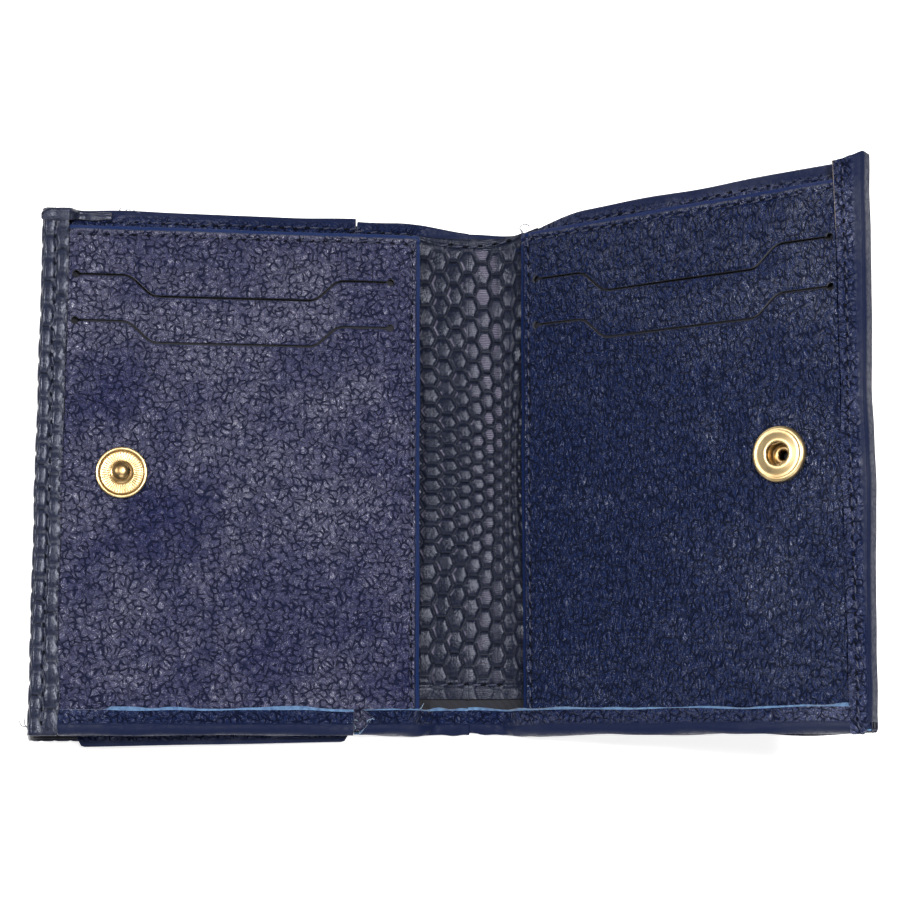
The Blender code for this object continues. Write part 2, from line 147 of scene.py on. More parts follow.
def over_fold(side, d, y, h):
    """World place of a sheet that runs from the spine's middle over a fold: d is measured along it."""
    d, y, h = np.broadcast_arrays(np.asarray(d, float), y, h)
    tilt, near = TILT[side], FOLD_X - FOLD_REACH
    share = np.clip((d - near) / (2 * FOLD_REACH), 0.0, 1.0)
    x = near + 2 * FOLD_REACH * (share * (1 - share) + share ** 2 * (1 + cos(tilt)) / 2)
    z = share ** 2 * FOLD_REACH * sin(tilt)
    tx, tz = (1 - share) + share * cos(tilt), share * sin(tilt)
    length = np.hypot(tx, tz)
    tx, tz = tx / length, tz / length
    x = x + np.minimum(d - near, 0.0) + np.maximum(d - FOLD_X - FOLD_REACH, 0.0) * cos(tilt)
    z = z + np.maximum(d - FOLD_X - FOLD_REACH, 0.0) * sin(tilt)
    return np.stack([side * (x - h * tz), y, FOLD_Z + z + h * tx], axis=-1)


COIN_TILT = tilt_of("coin_pocket_front")
COIN_X = 26.4               # the pocket frame's origin, left of the spine's middle
COIN_SNAP_A = 49.0
COIN_Z = 0.1 - COIN_SNAP_A * sin(COIN_TILT)


def on_pocket(a, y, b):
    """World place of points in the coin pocket's frame, a outwards and b up."""
    a, y, b = np.broadcast_arrays(np.asarray(a, float), y, b)
    x = COIN_X + a * cos(COIN_TILT) - b * sin(COIN_TILT)
    z = COIN_Z + a * sin(COIN_TILT) + b * cos(COIN_TILT)
    return np.stack([-x, y, z], axis=-1)


CARD = {side: panel_span(SIDE_NAME[side] + "_card_panel", side) for side in (LEFT, RIGHT)}
SHELL_LOW, SHELL_HIGH = panel_span("right_shell", RIGHT)
CARD_TOP, CARD_FACE = CARD[RIGHT][1][1], CARD[RIGHT][1][2]
SHELL_TOP, SHELL_BOTTOM, PANEL_EDGE, HEM_FACE = SHELL_HIGH[1], SHELL_LOW[1], SHELL_HIGH[0], SHELL_HIGH[2]
SHELL_BACK = SHELL_LOW[2]
CARD_START = {side: CARD[side][0][0] for side in (LEFT, RIGHT)}
STACK_EDGE = CARD[RIGHT][1][0]
STRIP_LOW, STRIP_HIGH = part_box("spine_strip")
EDGE_LIP = panel_span("edge_strip", LEFT)[0][0]
SIDE_HEM = 81.2             # raw edge of the right panel's side hem
HEM_RAW = -53.7             # raw edge of the bottom hem
FOOT_Y = -50.0              # the bottom hem lies below this
HEM_BASE = 0.6              # a hem is made thicker or thinner above this height
SNAP = {}
for _side, _node in ((LEFT, "snap_stud"), (RIGHT, "snap_socket")):
    _low, _high = panel_span(_node, _side)
    SNAP[_side] = ((_low[0] + _high[0]) / 2, (_low[1] + _high[1]) / 2)


# ------------------------------------------------------------------ properties
class WalletLeather(bpy.types.PropertyGroup):
    """Sizes and colours of the wallet's leather"""
    thickness: FloatProperty(
        name="Thickness", description="Thickness of the shell leather", default=0.6 * MM, unit="LENGTH")
    pebble: FloatProperty(
        name="Pebble", description="Width of one pebble of the grain", default=1.4 * MM, unit="LENGTH")
    scale_height: FloatProperty(
        name="Scale height", description="Height of the embossed scales", default=0.42 * MM,
        unit="LENGTH")
    grain_left: StringProperty(
        name="Left panel", description="sRGB hex of the left card panel", default="272a4e")
    grain_right: StringProperty(
        name="Right panel", description="sRGB hex of the right card panel", default="0f1d42")
    embossed: StringProperty(
        name="Embossed", description="sRGB hex of the embossed leather", default="10141f")
    raw_edge: StringProperty(
        name="Raw edge", description="sRGB hex of a raw cut edge", default="5a7ca2")


class WalletThread(bpy.types.PropertyGroup):
    """Sizes of the stitching"""
    pitch: FloatProperty(
        name="Pitch", description="Distance from one stitch to the next", default=STITCH_SPACING * MM,
        unit="LENGTH")
    length: FloatProperty(
        name="Length", description="Length of the thread that shows", default=2.0 * MM, unit="LENGTH")
    width: FloatProperty(
        name="Width", description="Thickness of the thread", default=0.42 * MM, unit="LENGTH")
    slant: FloatProperty(
        name="Slant", description="Turn of each stitch off the seam's line", default=radians(9),
        subtype="ANGLE")
    seed: IntProperty(name="Seed", description="Seed of the stitches' small irregularities", default=7)


class WalletSlots(bpy.types.PropertyGroup):
    """Sizes of the die-cut card slots"""
    upper: FloatProperty(
        name="Upper slot", description="Height of the upper slot's ends", default=42.5 * MM,
        unit="LENGTH")
    lower: FloatProperty(
        name="Lower slot", description="Height of the lower slot's ends", default=32.0 * MM,
        unit="LENGTH")
    dip: FloatProperty(
        name="Dip", description="How far the slot's middle runs below its ends", default=4.7 * MM,
        unit="LENGTH")
    width: FloatProperty(name="Width", description="Width of the cut", default=0.62 * MM, unit="LENGTH")
    hole: FloatProperty(
        name="Hole", description="Radius of the punched hole at each end", default=0.88 * MM,
        unit="LENGTH")


class WalletSnaps(bpy.types.PropertyGroup):
    """Sizes of the press studs"""
    segments: IntProperty(name="Segments", description="Steps round a turned part", default=72)
    ribs: IntProperty(name="Ribs", description="Radial ribs on the stud's flange", default=46)
    colour: StringProperty(name="Brass", description="sRGB hex of the polished brass", default="d3bb8c")


class WalletStage(bpy.types.PropertyGroup):
    """Floor, camera and lights"""
    lens: FloatProperty(
        name="Lens", description="Focal length on a 36 mm sensor", default=81.46, unit="CAMERA")
    pitch: FloatProperty(
        name="Camera pitch", description="Tilt of the camera off straight down", default=0.147,
        subtype="ANGLE")
    overhead: FloatProperty(
        name="Overhead", description="Soft light that the left panel mirrors", default=9.5,
        unit="POWER")
    left: FloatProperty(
        name="Left", description="Small light that makes the right panel glint", default=6.0,
        unit="POWER")
    front: FloatProperty(
        name="Front", description="Wide soft light from the front", default=5.0, unit="POWER")
    sky: FloatProperty(name="Sky", description="Strength of the white surroundings", default=0.2)
    glow: FloatProperty(
        name="Floor glow", description="Light that the white floor itself gives", default=0.6)


GROUPS = {"wallet_leather": WalletLeather, "wallet_thread": WalletThread, "wallet_slots": WalletSlots,
          "wallet_snaps": WalletSnaps, "wallet_stage": WalletStage}


# ------------------------------------------------------------------ materials
def linear(hex_colour):
    """sRGB hex to the linear colour a shader wants."""
    channels = [int(hex_colour[k:k + 2], 16) / 255 for k in (0, 2, 4)]
    return tuple(c / 12.92 if c <= 0.04045 else ((c + 0.055) / 1.055) ** 2.4 for c in channels) + (1.0,)


def place_object(name, data):
    """A new object in the scene, at the origin."""
    item = bpy.data.objects.new(name, data)
    bpy.context.scene.collection.objects.link(item)
    return item


def add(tree, kind, links=None, out=None, **settings):
    """Add a node with its settings and its inputs' values or links; gives the node or one of its outputs."""
    node = tree.nodes.new(kind)
    for key, value in settings.items():
        setattr(node, key, value)
    for key, value in (links or {}).items():
        if isinstance(value, bpy.types.NodeSocket):
            tree.links.new(value, node.inputs[key])
        else:
            node.inputs[key].default_value = value
    return node if out is None else node.outputs[out]


def new_material(name, **shader_values):
    """A material with its Principled shader's constant sockets set; returns it, its tree and its shader."""
    made = bpy.data.materials.new(name)
    made.use_nodes = True
    shader = made.node_tree.nodes["Principled BSDF"]
    for key, value in shader_values.items():
        shader.inputs[key.replace("_", " ")].default_value = value
    return made, made.node_tree, shader


def feed(shader, **sources):
    """Link nodes' outputs to a shader's inputs."""
    for key, source in sources.items():
        shader.id_data.links.new(source, shader.inputs[key.replace("_", " ")])


def grain_height(tree, place, cell, stretch):
    """Height 0..1 of pebbled grain: rounded cells with creases between them and finer knobs on top."""
    squash = add(tree, "ShaderNodeMapping", {"Vector": place, "Scale": (*stretch, 1.0)}, out=0)
    drift = add(tree, "ShaderNodeTexNoise", {"Vector": squash, "Scale": 0.45 / cell, "Detail": 2.0},
                out="Color", noise_dimensions="2D")
    centred = add(tree, "ShaderNodeVectorMath", {0: drift, 1: (0.5, 0.5, 0.5)}, out=0, operation="SUBTRACT")
    warped = add(tree, "ShaderNodeVectorMath", {0: centred, 1: (1.5 * cell,) * 3, 2: squash}, out=0,
                 operation="MULTIPLY_ADD")
    edge = add(tree, "ShaderNodeTexVoronoi", {"Vector": warped, "Scale": 1.0 / cell}, out="Distance",
               voronoi_dimensions="2D", feature="DISTANCE_TO_EDGE")
    middle = add(tree, "ShaderNodeTexVoronoi", {"Vector": warped, "Scale": 1.0 / cell}, out="Distance",
                 voronoi_dimensions="2D", feature="F1")
    # creases are deep in places and fade out in others
    faded = add(tree, "ShaderNodeTexNoise", {"Vector": place, "Scale": 0.7 / cell, "Detail": 2.0}, out=0,
                noise_dimensions="2D")
    filled = add(tree, "ShaderNodeMapRange", {0: faded, 1: 0.4, 2: 0.66, 3: 0.0, 4: 0.2}, out=0)
    shallow = add(tree, "ShaderNodeMath", {0: edge, 1: filled}, out=0, operation="ADD")
    island = add(tree, "ShaderNodeMapRange", {0: shallow, 1: 0.0, 2: 0.22}, out=0,
                 interpolation_type="SMOOTHERSTEP")
    dome = add(tree, "ShaderNodeMapRange", {0: middle, 1: 0.0, 2: 0.8, 3: 0.42, 4: 0.0}, out=0,
               interpolation_type="SMOOTHSTEP")
    small = add(tree, "ShaderNodeTexVoronoi", {"Vector": warped, "Scale": 2.3 / cell}, out="Distance",
                voronoi_dimensions="2D", feature="F1")
    knobs = add(tree, "ShaderNodeMapRange", {0: small, 1: 0.05, 2: 0.7, 3: 0.26, 4: 0.0}, out=0,
                interpolation_type="SMOOTHSTEP")
    ripple = add(tree, "ShaderNodeTexNoise", {"Vector": warped, "Scale": 2.4 / cell, "Detail": 2.0}, out=0,
                 noise_dimensions="2D")
    bumpy = add(tree, "ShaderNodeMath", {0: ripple, 1: 0.42, 2: knobs}, out=0, operation="MULTIPLY_ADD")
    tops = add(tree, "ShaderNodeMath", {0: dome, 1: bumpy}, out=0, operation="ADD")
    return add(tree, "ShaderNodeMath", {0: island, 1: tops}, out=0, operation="MULTIPLY")


def pebbled_leather(name, base_hex, crease_hex, worn_hex, band_hex, depth, gloss, stretch=(1.0, 1.0)):
    """Aniline-dyed pebbled goatskin: deep navy in the creases, greyer and glossier on the pebble tops where
    its wear field is high (on the card panels painted sheen and painted glints, elsewhere wear), smooth where
    an edge is turned over; it glints in specks under a soft light."""
    made, tree, shader = new_material(name, Sheen_Weight=0.02, Sheen_Roughness=0.45)
    place = add(tree, "ShaderNodeUVMap", out=0, uv_map=UV_NAME)
    height = grain_height(tree, place, bpy.context.scene.wallet_leather.pebble / MM, stretch)
    band = add(tree, "ShaderNodeAttribute", out="Fac", attribute_name="band")
    # wear field: wear, and on the card panels painted sheen and painted glints where the lights would reflect
    wear_and_sheen = add(tree, "ShaderNodeAttribute", out="Fac", attribute_name="wear_and_sheen")
    patches = add(tree, "ShaderNodeTexNoise", {"Vector": place, "Scale": 0.05, "Detail": 3.0,
                                               "Roughness": 0.6}, out=0, noise_dimensions="2D")
    cloud = add(tree, "ShaderNodeMapRange", {0: patches, 1: 0.4, 2: 0.62, 3: -0.3, 4: 0.3}, out=0)
    # worn mixes random patches with the wear field: partly wear, partly painted sheen
    worn = add(tree, "ShaderNodeMath", {0: cloud, 1: wear_and_sheen}, out=0, operation="ADD", use_clamp=True)
    top = add(tree, "ShaderNodeMix", {0: worn, 6: linear(base_hex), 7: linear(worn_hex)}, out=2,
              data_type="RGBA")
    raised = add(tree, "ShaderNodeMapRange", {0: height, 1: 0.05, 2: 0.6}, out=0)
    grained = add(tree, "ShaderNodeMix", {0: raised, 6: linear(crease_hex), 7: top}, out=2, data_type="RGBA")
    colour = add(tree, "ShaderNodeMix", {0: band, 6: grained, 7: linear(band_hex)}, out=2, data_type="RGBA")
    rough = add(tree, "ShaderNodeMapRange", {0: height, 1: 0.0, 2: 0.7, 3: gloss + 0.25, 4: gloss}, out=0)
    dull = add(tree, "ShaderNodeMath", {0: band, 1: 0.2, 2: rough}, out=0, operation="MULTIPLY_ADD")
    shine = add(tree, "ShaderNodeMapRange", {0: worn, 3: 0.25, 4: 0.75}, out=0)
    matt = add(tree, "ShaderNodeMapRange", {0: band, 3: 1.0, 4: 0.45}, out=0)
    open_top = add(tree, "ShaderNodeMapRange", {0: height, 1: 0.05, 2: 0.5, 3: 0.15, 4: 1.0}, out=0)
    even = add(tree, "ShaderNodeMath", {0: open_top, 1: band}, out=0, operation="MAXIMUM")
    glossy = add(tree, "ShaderNodeMath", {0: shine, 1: even}, out=0, operation="MULTIPLY")
    gleam = add(tree, "ShaderNodeMath", {0: glossy, 1: matt}, out=0, operation="MULTIPLY")
    grain = add(tree, "ShaderNodeMath", {0: 1.0, 1: band}, out=0, operation="SUBTRACT", use_clamp=True)
    relief = add(tree, "ShaderNodeMath", {0: height, 1: grain}, out=0, operation="MULTIPLY")
    pores = add(tree, "ShaderNodeTexNoise", {"Vector": place, "Scale": 4.0, "Detail": 2.0}, out=0,
                noise_dimensions="2D")
    fine = add(tree, "ShaderNodeMath", {0: pores, 1: 0.06, 2: relief}, out=0, operation="MULTIPLY_ADD")
    bump = add(tree, "ShaderNodeBump", {"Strength": 1.0, "Distance": depth * MM, "Height": fine}, out=0)
    feed(shader, Base_Color=colour, Roughness=dull, Specular_IOR_Level=gleam, Normal=bump)
    return made


def embossed_leather(name, base_hex, groove_hex, worn_hex, lit_hex, shine):
    """Snake-embossed calf: charcoal-navy scales pressed into the hide, with a waxy gloss on the domes,
    near-black grooves, and hair-fine ribs; painted highlights show the ribs pale along one lane and line the
    scales' left edges with glints."""
    made, tree, shader = new_material(name, Specular_IOR_Level=shine, Specular_Tint=(0.8, 0.85, 1.0, 1.0))
    place = add(tree, "ShaderNodeUVMap", out=0, uv_map=UV_NAME)
    dome = add(tree, "ShaderNodeAttribute", out="Fac", attribute_name="dome")
    rib_highlight_lane = add(tree, "ShaderNodeAttribute", out="Fac", attribute_name="ribs")
    grain = add(tree, "ShaderNodeTexNoise", {"Vector": place, "Scale": 1.7, "Detail": 4.0, "Roughness": 0.65},
                out=0, noise_dimensions="2D")
    worn = add(tree, "ShaderNodeMapRange", {0: grain, 1: 0.42, 2: 0.66}, out=0)
    top = add(tree, "ShaderNodeMix", {0: worn, 6: linear(base_hex), 7: linear(worn_hex)}, out=2,
              data_type="RGBA")
    across = add(tree, "ShaderNodeSeparateXYZ", {0: place}, out=1)
    swing = add(tree, "ShaderNodeTexNoise", {"Vector": place, "Scale": 0.5, "Detail": 1.0}, out=0,
                noise_dimensions="2D")
    bent = add(tree, "ShaderNodeMath", {0: swing, 1: 0.5, 2: across}, out=0, operation="MULTIPLY_ADD")
    turns = add(tree, "ShaderNodeMath", {0: bent, 1: 2 * pi / RIB_PITCH}, out=0, operation="MULTIPLY")
    wave = add(tree, "ShaderNodeMath", {0: turns}, out=0, operation="SINE")
    crest = add(tree, "ShaderNodeMapRange", {0: wave, 1: -0.6, 2: 0.9, 3: 0.25, 4: 1.0}, out=0)
    flat_top = add(tree, "ShaderNodeMapRange", {0: dome, 1: 0.72, 2: 0.9}, out=0,
                   interpolation_type="SMOOTHSTEP")
    # painted highlight: rib crests pale on the flat tops along the lane that the ribs field marks
    lit = add(tree, "ShaderNodeMath", {0: crest, 1: rib_highlight_lane}, out=0, operation="MULTIPLY")
    pale = add(tree, "ShaderNodeMath", {0: lit, 1: flat_top}, out=0, operation="MULTIPLY", use_clamp=True)
    ribbed = add(tree, "ShaderNodeMix", {0: pale, 6: top, 7: linear(lit_hex)}, out=2, data_type="RGBA")
    # painted glints along the scales' left edges, read from the wear field
    rim = add(tree, "ShaderNodeAttribute", out="Fac", attribute_name="wear_and_sheen")
    with_painted_glints = add(tree, "ShaderNodeMix", {0: rim, 6: ribbed, 7: linear(lit_hex)}, out=2, data_type="RGBA")
    raised = add(tree, "ShaderNodeMapRange", {0: dome, 1: 0.05, 2: 0.36}, out=0)
    colour = add(tree, "ShaderNodeMix", {0: raised, 6: linear(groove_hex), 7: with_painted_glints}, out=2,
                 data_type="RGBA")
    sheen = add(tree, "ShaderNodeMapRange", {0: dome, 3: 0.36, 4: 0.14}, out=0)
    rough = add(tree, "ShaderNodeMath", {0: grain, 1: 0.12, 2: sheen}, out=0, operation="MULTIPLY_ADD")
    ribs = add(tree, "ShaderNodeMath", {0: wave, 1: rib_highlight_lane}, out=0, operation="MULTIPLY")
    height = add(tree, "ShaderNodeMath", {0: ribs, 1: 0.35, 2: grain}, out=0, operation="MULTIPLY_ADD")
    bump = add(tree, "ShaderNodeBump", {"Strength": 0.8, "Distance": 0.06 * MM, "Height": height}, out=0)
    feed(shader, Base_Color=colour, Roughness=rough, Normal=bump)
    return made


def raw_edge(name, hex_colour, dark_hex):
    """Raw cut edge of a dyed hide: pale blue split fibres where the dye hasn't reached, dry and matt."""
    made, tree, shader = new_material(name, Specular_IOR_Level=0.25, Roughness=0.85, Sheen_Weight=0.2,
                                      Sheen_Roughness=0.6)
    spot = add(tree, "ShaderNodeTexCoord", out="Object")
    fibre = add(tree, "ShaderNodeTexNoise", {"Vector": spot, "Scale": 900.0, "Detail": 4.0}, out=0)
    patch = add(tree, "ShaderNodeTexNoise", {"Vector": spot, "Scale": 130.0, "Detail": 2.0}, out=0)
    split = add(tree, "ShaderNodeMapRange", {0: fibre, 1: 0.3, 2: 0.6}, out=0)
    inked = add(tree, "ShaderNodeMapRange", {0: patch, 1: 0.5, 2: 0.75, 3: 0.0, 4: 0.5}, out=0)
    pale = add(tree, "ShaderNodeMix", {0: split, 6: linear(dark_hex), 7: linear(hex_colour)}, out=2,
               data_type="RGBA")
    colour = add(tree, "ShaderNodeMix", {0: inked, 6: pale, 7: linear(dark_hex)}, out=2, data_type="RGBA")
    bump = add(tree, "ShaderNodeBump", {"Strength": 0.8, "Distance": 0.12 * MM, "Height": fibre}, out=0)
    feed(shader, Base_Color=colour, Normal=bump)
    return made


def lining_twill(name, hex_colour, dark_hex):
    """Polyester lining: a fine dark twill whose diagonal ridges give it a dull silk sheen."""
    made, tree, shader = new_material(name, Specular_IOR_Level=0.35, Roughness=0.7, Sheen_Weight=0.25,
                                      Sheen_Roughness=0.4)
    spot = add(tree, "ShaderNodeTexCoord", out="Object")
    # 0.5 mm ridges: coarser than real lining thread, so that the weave shows
    twill = add(tree, "ShaderNodeTexWave", {"Vector": spot, "Scale": 320.0, "Distortion": 0.6, "Detail": 1.0},
                out="Fac", bands_direction="DIAGONAL")
    yarn = add(tree, "ShaderNodeTexNoise", {"Vector": spot, "Scale": 1500.0, "Detail": 2.0}, out=0)
    uneven = add(tree, "ShaderNodeMath", {0: yarn, 1: 0.4}, out=0, operation="MULTIPLY")
    ridge = add(tree, "ShaderNodeMath", {0: twill, 1: 0.7, 2: uneven}, out=0, operation="MULTIPLY_ADD")
    colour = add(tree, "ShaderNodeMix", {0: ridge, 6: linear(dark_hex), 7: linear(hex_colour)}, out=2,
                 data_type="RGBA")
    bump = add(tree, "ShaderNodeBump", {"Strength": 0.6, "Distance": 0.08 * MM, "Height": ridge}, out=0)
    feed(shader, Base_Color=colour, Normal=bump)
    return made


def waxed_thread(name, hex_colour, light_hex):
    """Waxed polyester thread: twisted plies with a painted highlight, a thin lighter line along each stitch.
    """
    made, tree, shader = new_material(name, Specular_IOR_Level=0.5, Roughness=0.5, Sheen_Weight=0.2,
                                      Sheen_Roughness=0.35)
    spot = add(tree, "ShaderNodeTexCoord", out="Object")
    ply = add(tree, "ShaderNodeTexWave", {"Vector": spot, "Scale": 900.0, "Distortion": 1.5}, out="Fac",
              bands_direction="DIAGONAL")
    colour = add(tree, "ShaderNodeMix", {0: ply, 6: linear(hex_colour), 7: linear(light_hex)}, out=2,
                 data_type="RGBA")
    bump = add(tree, "ShaderNodeBump", {"Strength": 0.5, "Distance": 0.06 * MM, "Height": ply}, out=0)
    feed(shader, Base_Color=colour, Normal=bump)
    return made


def polished_brass(name, hex_colour, aged_hex, roughness):
    """Drawn and polished brass under a thin lacquer: warm, bright, with faint turning marks and tarnish."""
    made, tree, shader = new_material(name, Metallic=1.0)
    spot = add(tree, "ShaderNodeTexCoord", out="Object")
    haze = add(tree, "ShaderNodeTexNoise", {"Vector": spot, "Scale": 420.0, "Detail": 4.0}, out=0)
    tarnish = add(tree, "ShaderNodeMapRange", {0: haze, 1: 0.5, 2: 0.75, 3: 0.0, 4: 0.6}, out=0)
    colour = add(tree, "ShaderNodeMix", {0: tarnish, 6: linear(hex_colour), 7: linear(aged_hex)}, out=2,
                 data_type="RGBA")
    rough = add(tree, "ShaderNodeMapRange", {0: haze, 1: 0.3, 2: 0.75, 3: roughness, 4: roughness + 0.16},
                out=0)
    scratch = add(tree, "ShaderNodeTexNoise", {"Vector": spot, "Scale": 2600.0, "Detail": 2.0}, out=0)
    bump = add(tree, "ShaderNodeBump", {"Strength": 0.25, "Distance": 0.02 * MM, "Height": scratch}, out=0)
    feed(shader, Base_Color=colour, Roughness=rough, Normal=bump)
    return made


def painted_hole_shade(name):
    """Painted shade in the awl holes: near-black dents where each stitch dives into the leather, standing in
    for the shadow inside each hole.
    """
    made, tree, shader = new_material(name, Roughness=0.8, Specular_IOR_Level=0.1)
    spot = add(tree, "ShaderNodeTexCoord", out="Object")
    shade_noise = add(tree, "ShaderNodeTexNoise", {"Vector": spot, "Scale": 1200.0, "Detail": 2.0}, out=0)
    colour = add(tree, "ShaderNodeMix", {0: shade_noise, 6: linear("020308"), 7: linear("0a0d18")}, out=2,
                 data_type="RGBA")
    feed(shader, Base_Color=colour)
    return made


def make_finishes():
    leather, snaps = bpy.context.scene.wallet_leather, bpy.context.scene.wallet_snaps
    right, left, scales = leather.grain_right, leather.grain_left, leather.embossed
    return {
        # the third colour, the greyer pebble top, is painted sheen on the card panels
        "left": pebbled_leather("pebbled_goatskin_left", left, "10162f", "4b4c66", "10234d", 0.85, 0.22),
        "right": pebbled_leather("pebbled_goatskin_right", right, "081026", "18264c", "0b1c45", 0.9, 0.2,
                                 stretch=(1.3, 0.8)),
        "shell": pebbled_leather("pebbled_goatskin_shell", right, "080f26", "28325a", "0e1835", 0.75, 0.26),
        # the last colour paints highlights on the embossed scales: pale ribs and edge glints
        "embossed": embossed_leather("snake_embossed_calf", scales, "020306", "1a1f31", "625f70", 0.16),
        "edge": embossed_leather("snake_embossed_calf_edge", "1a1e2c", "04060c", "252a3e", "4c4c5c", 0.28),
        "raw": raw_edge("raw_cut_edge", leather.raw_edge, "3c5880"),
        "raw_dark": raw_edge("inked_cut_edge", "1b2238", "0a0e1c"),
        "worn": raw_edge("worn_cut_edge", "8a7d74", "3a3840"),
        "lining": lining_twill("polyester_twill", "0c1020", "04060c"),
        "thread": waxed_thread("waxed_thread", "10162c", "2c3350"),
        # painted shade for the needle holes
        "hole": painted_hole_shade("needle_hole_shade"),
        "fray": waxed_thread("frayed_thread", "5c7699", "a3b9d2"),
        "brass": polished_brass("polished_brass", snaps.colour, "a88a5a", 0.3),
        "bronze": polished_brass("burnished_brass", "a68b62", "6a4f32", 0.26),
    }


# ------------------------------------------------------------------ mesh building
def smooth_step(value, low, high):
    share = np.clip((value - low) / (high - low), 0.0, 1.0)
    return share * share * (3 - 2 * share)


def bell(distance, width):
    return np.exp(-(distance / width) ** 2)


def waves(first, second, seed, scale, count=7):
    """A smooth field of small random waves, about -1..1, over two coordinates in millimetres."""
    draw = np.random.default_rng(seed)
    total = np.zeros(np.broadcast(first, second).shape)
    for _ in range(count):
        turn, phase, length = draw.uniform(0, 2 * pi), draw.uniform(0, 2 * pi), scale * draw.uniform(0.6, 1.7)
        total = total + np.sin(2 * pi * (first * cos(turn) + second * sin(turn)) / length + phase)
    return total / count ** 0.5


def grid_normals(grid):
    """Unit normals of a grid of points, from its neighbours' differences."""
    along, across = np.gradient(grid, axis=0), np.gradient(grid, axis=1)
    normal = np.cross(along, across)
    return normal / np.maximum(np.linalg.norm(normal, axis=-1, keepdims=True), 1e-12)


def arc_lengths(grid):
    """Developed length of a grid's points along each of its two directions."""
    along = np.linalg.norm(np.diff(grid, axis=0), axis=-1)
    across = np.linalg.norm(np.diff(grid, axis=1), axis=-1)
    u = np.concatenate([np.zeros((1, grid.shape[1])), np.cumsum(along, axis=0)])
    v = np.concatenate([np.zeros((grid.shape[0], 1)), np.cumsum(across, axis=1)], axis=1)
    return u.mean(axis=1, keepdims=True) + 0 * u, v


def link_mesh(name, points, faces, finishes, face_slots=None, uv=None, fields=None, sharp=50):
    """A named object from points in world millimetres, its faces turned outwards."""
    mesh = bpy.data.meshes.new(name)
    mesh.from_pydata((np.asarray(points) * MM).tolist(), [], faces)
    for finish in finishes:
        mesh.materials.append(FINISH[finish])
    if face_slots is not None:
        mesh.polygons.foreach_set("material_index", face_slots)
    if uv is not None:
        corners = np.empty(len(mesh.loops), np.int32)
        mesh.loops.foreach_get("vertex_index", corners)
        layer = mesh.uv_layers.new(name=UV_NAME)
        layer.data.foreach_set("uv", np.asarray(uv)[corners].astype(np.float32).ravel())
    for key, values in (fields or {}).items():
        mesh.attributes.new(key, "FLOAT", "POINT").data.foreach_set("value", values.astype(np.float32))
    bm = bmesh.new()
    bm.from_mesh(mesh)
    bmesh.ops.recalc_face_normals(bm, faces=bm.faces[:])
    bm.to_mesh(mesh)
    bm.free()
    mesh.shade_smooth()
    mesh.set_sharp_from_angle(angle=radians(sharp))
    return place_object(name, mesh)


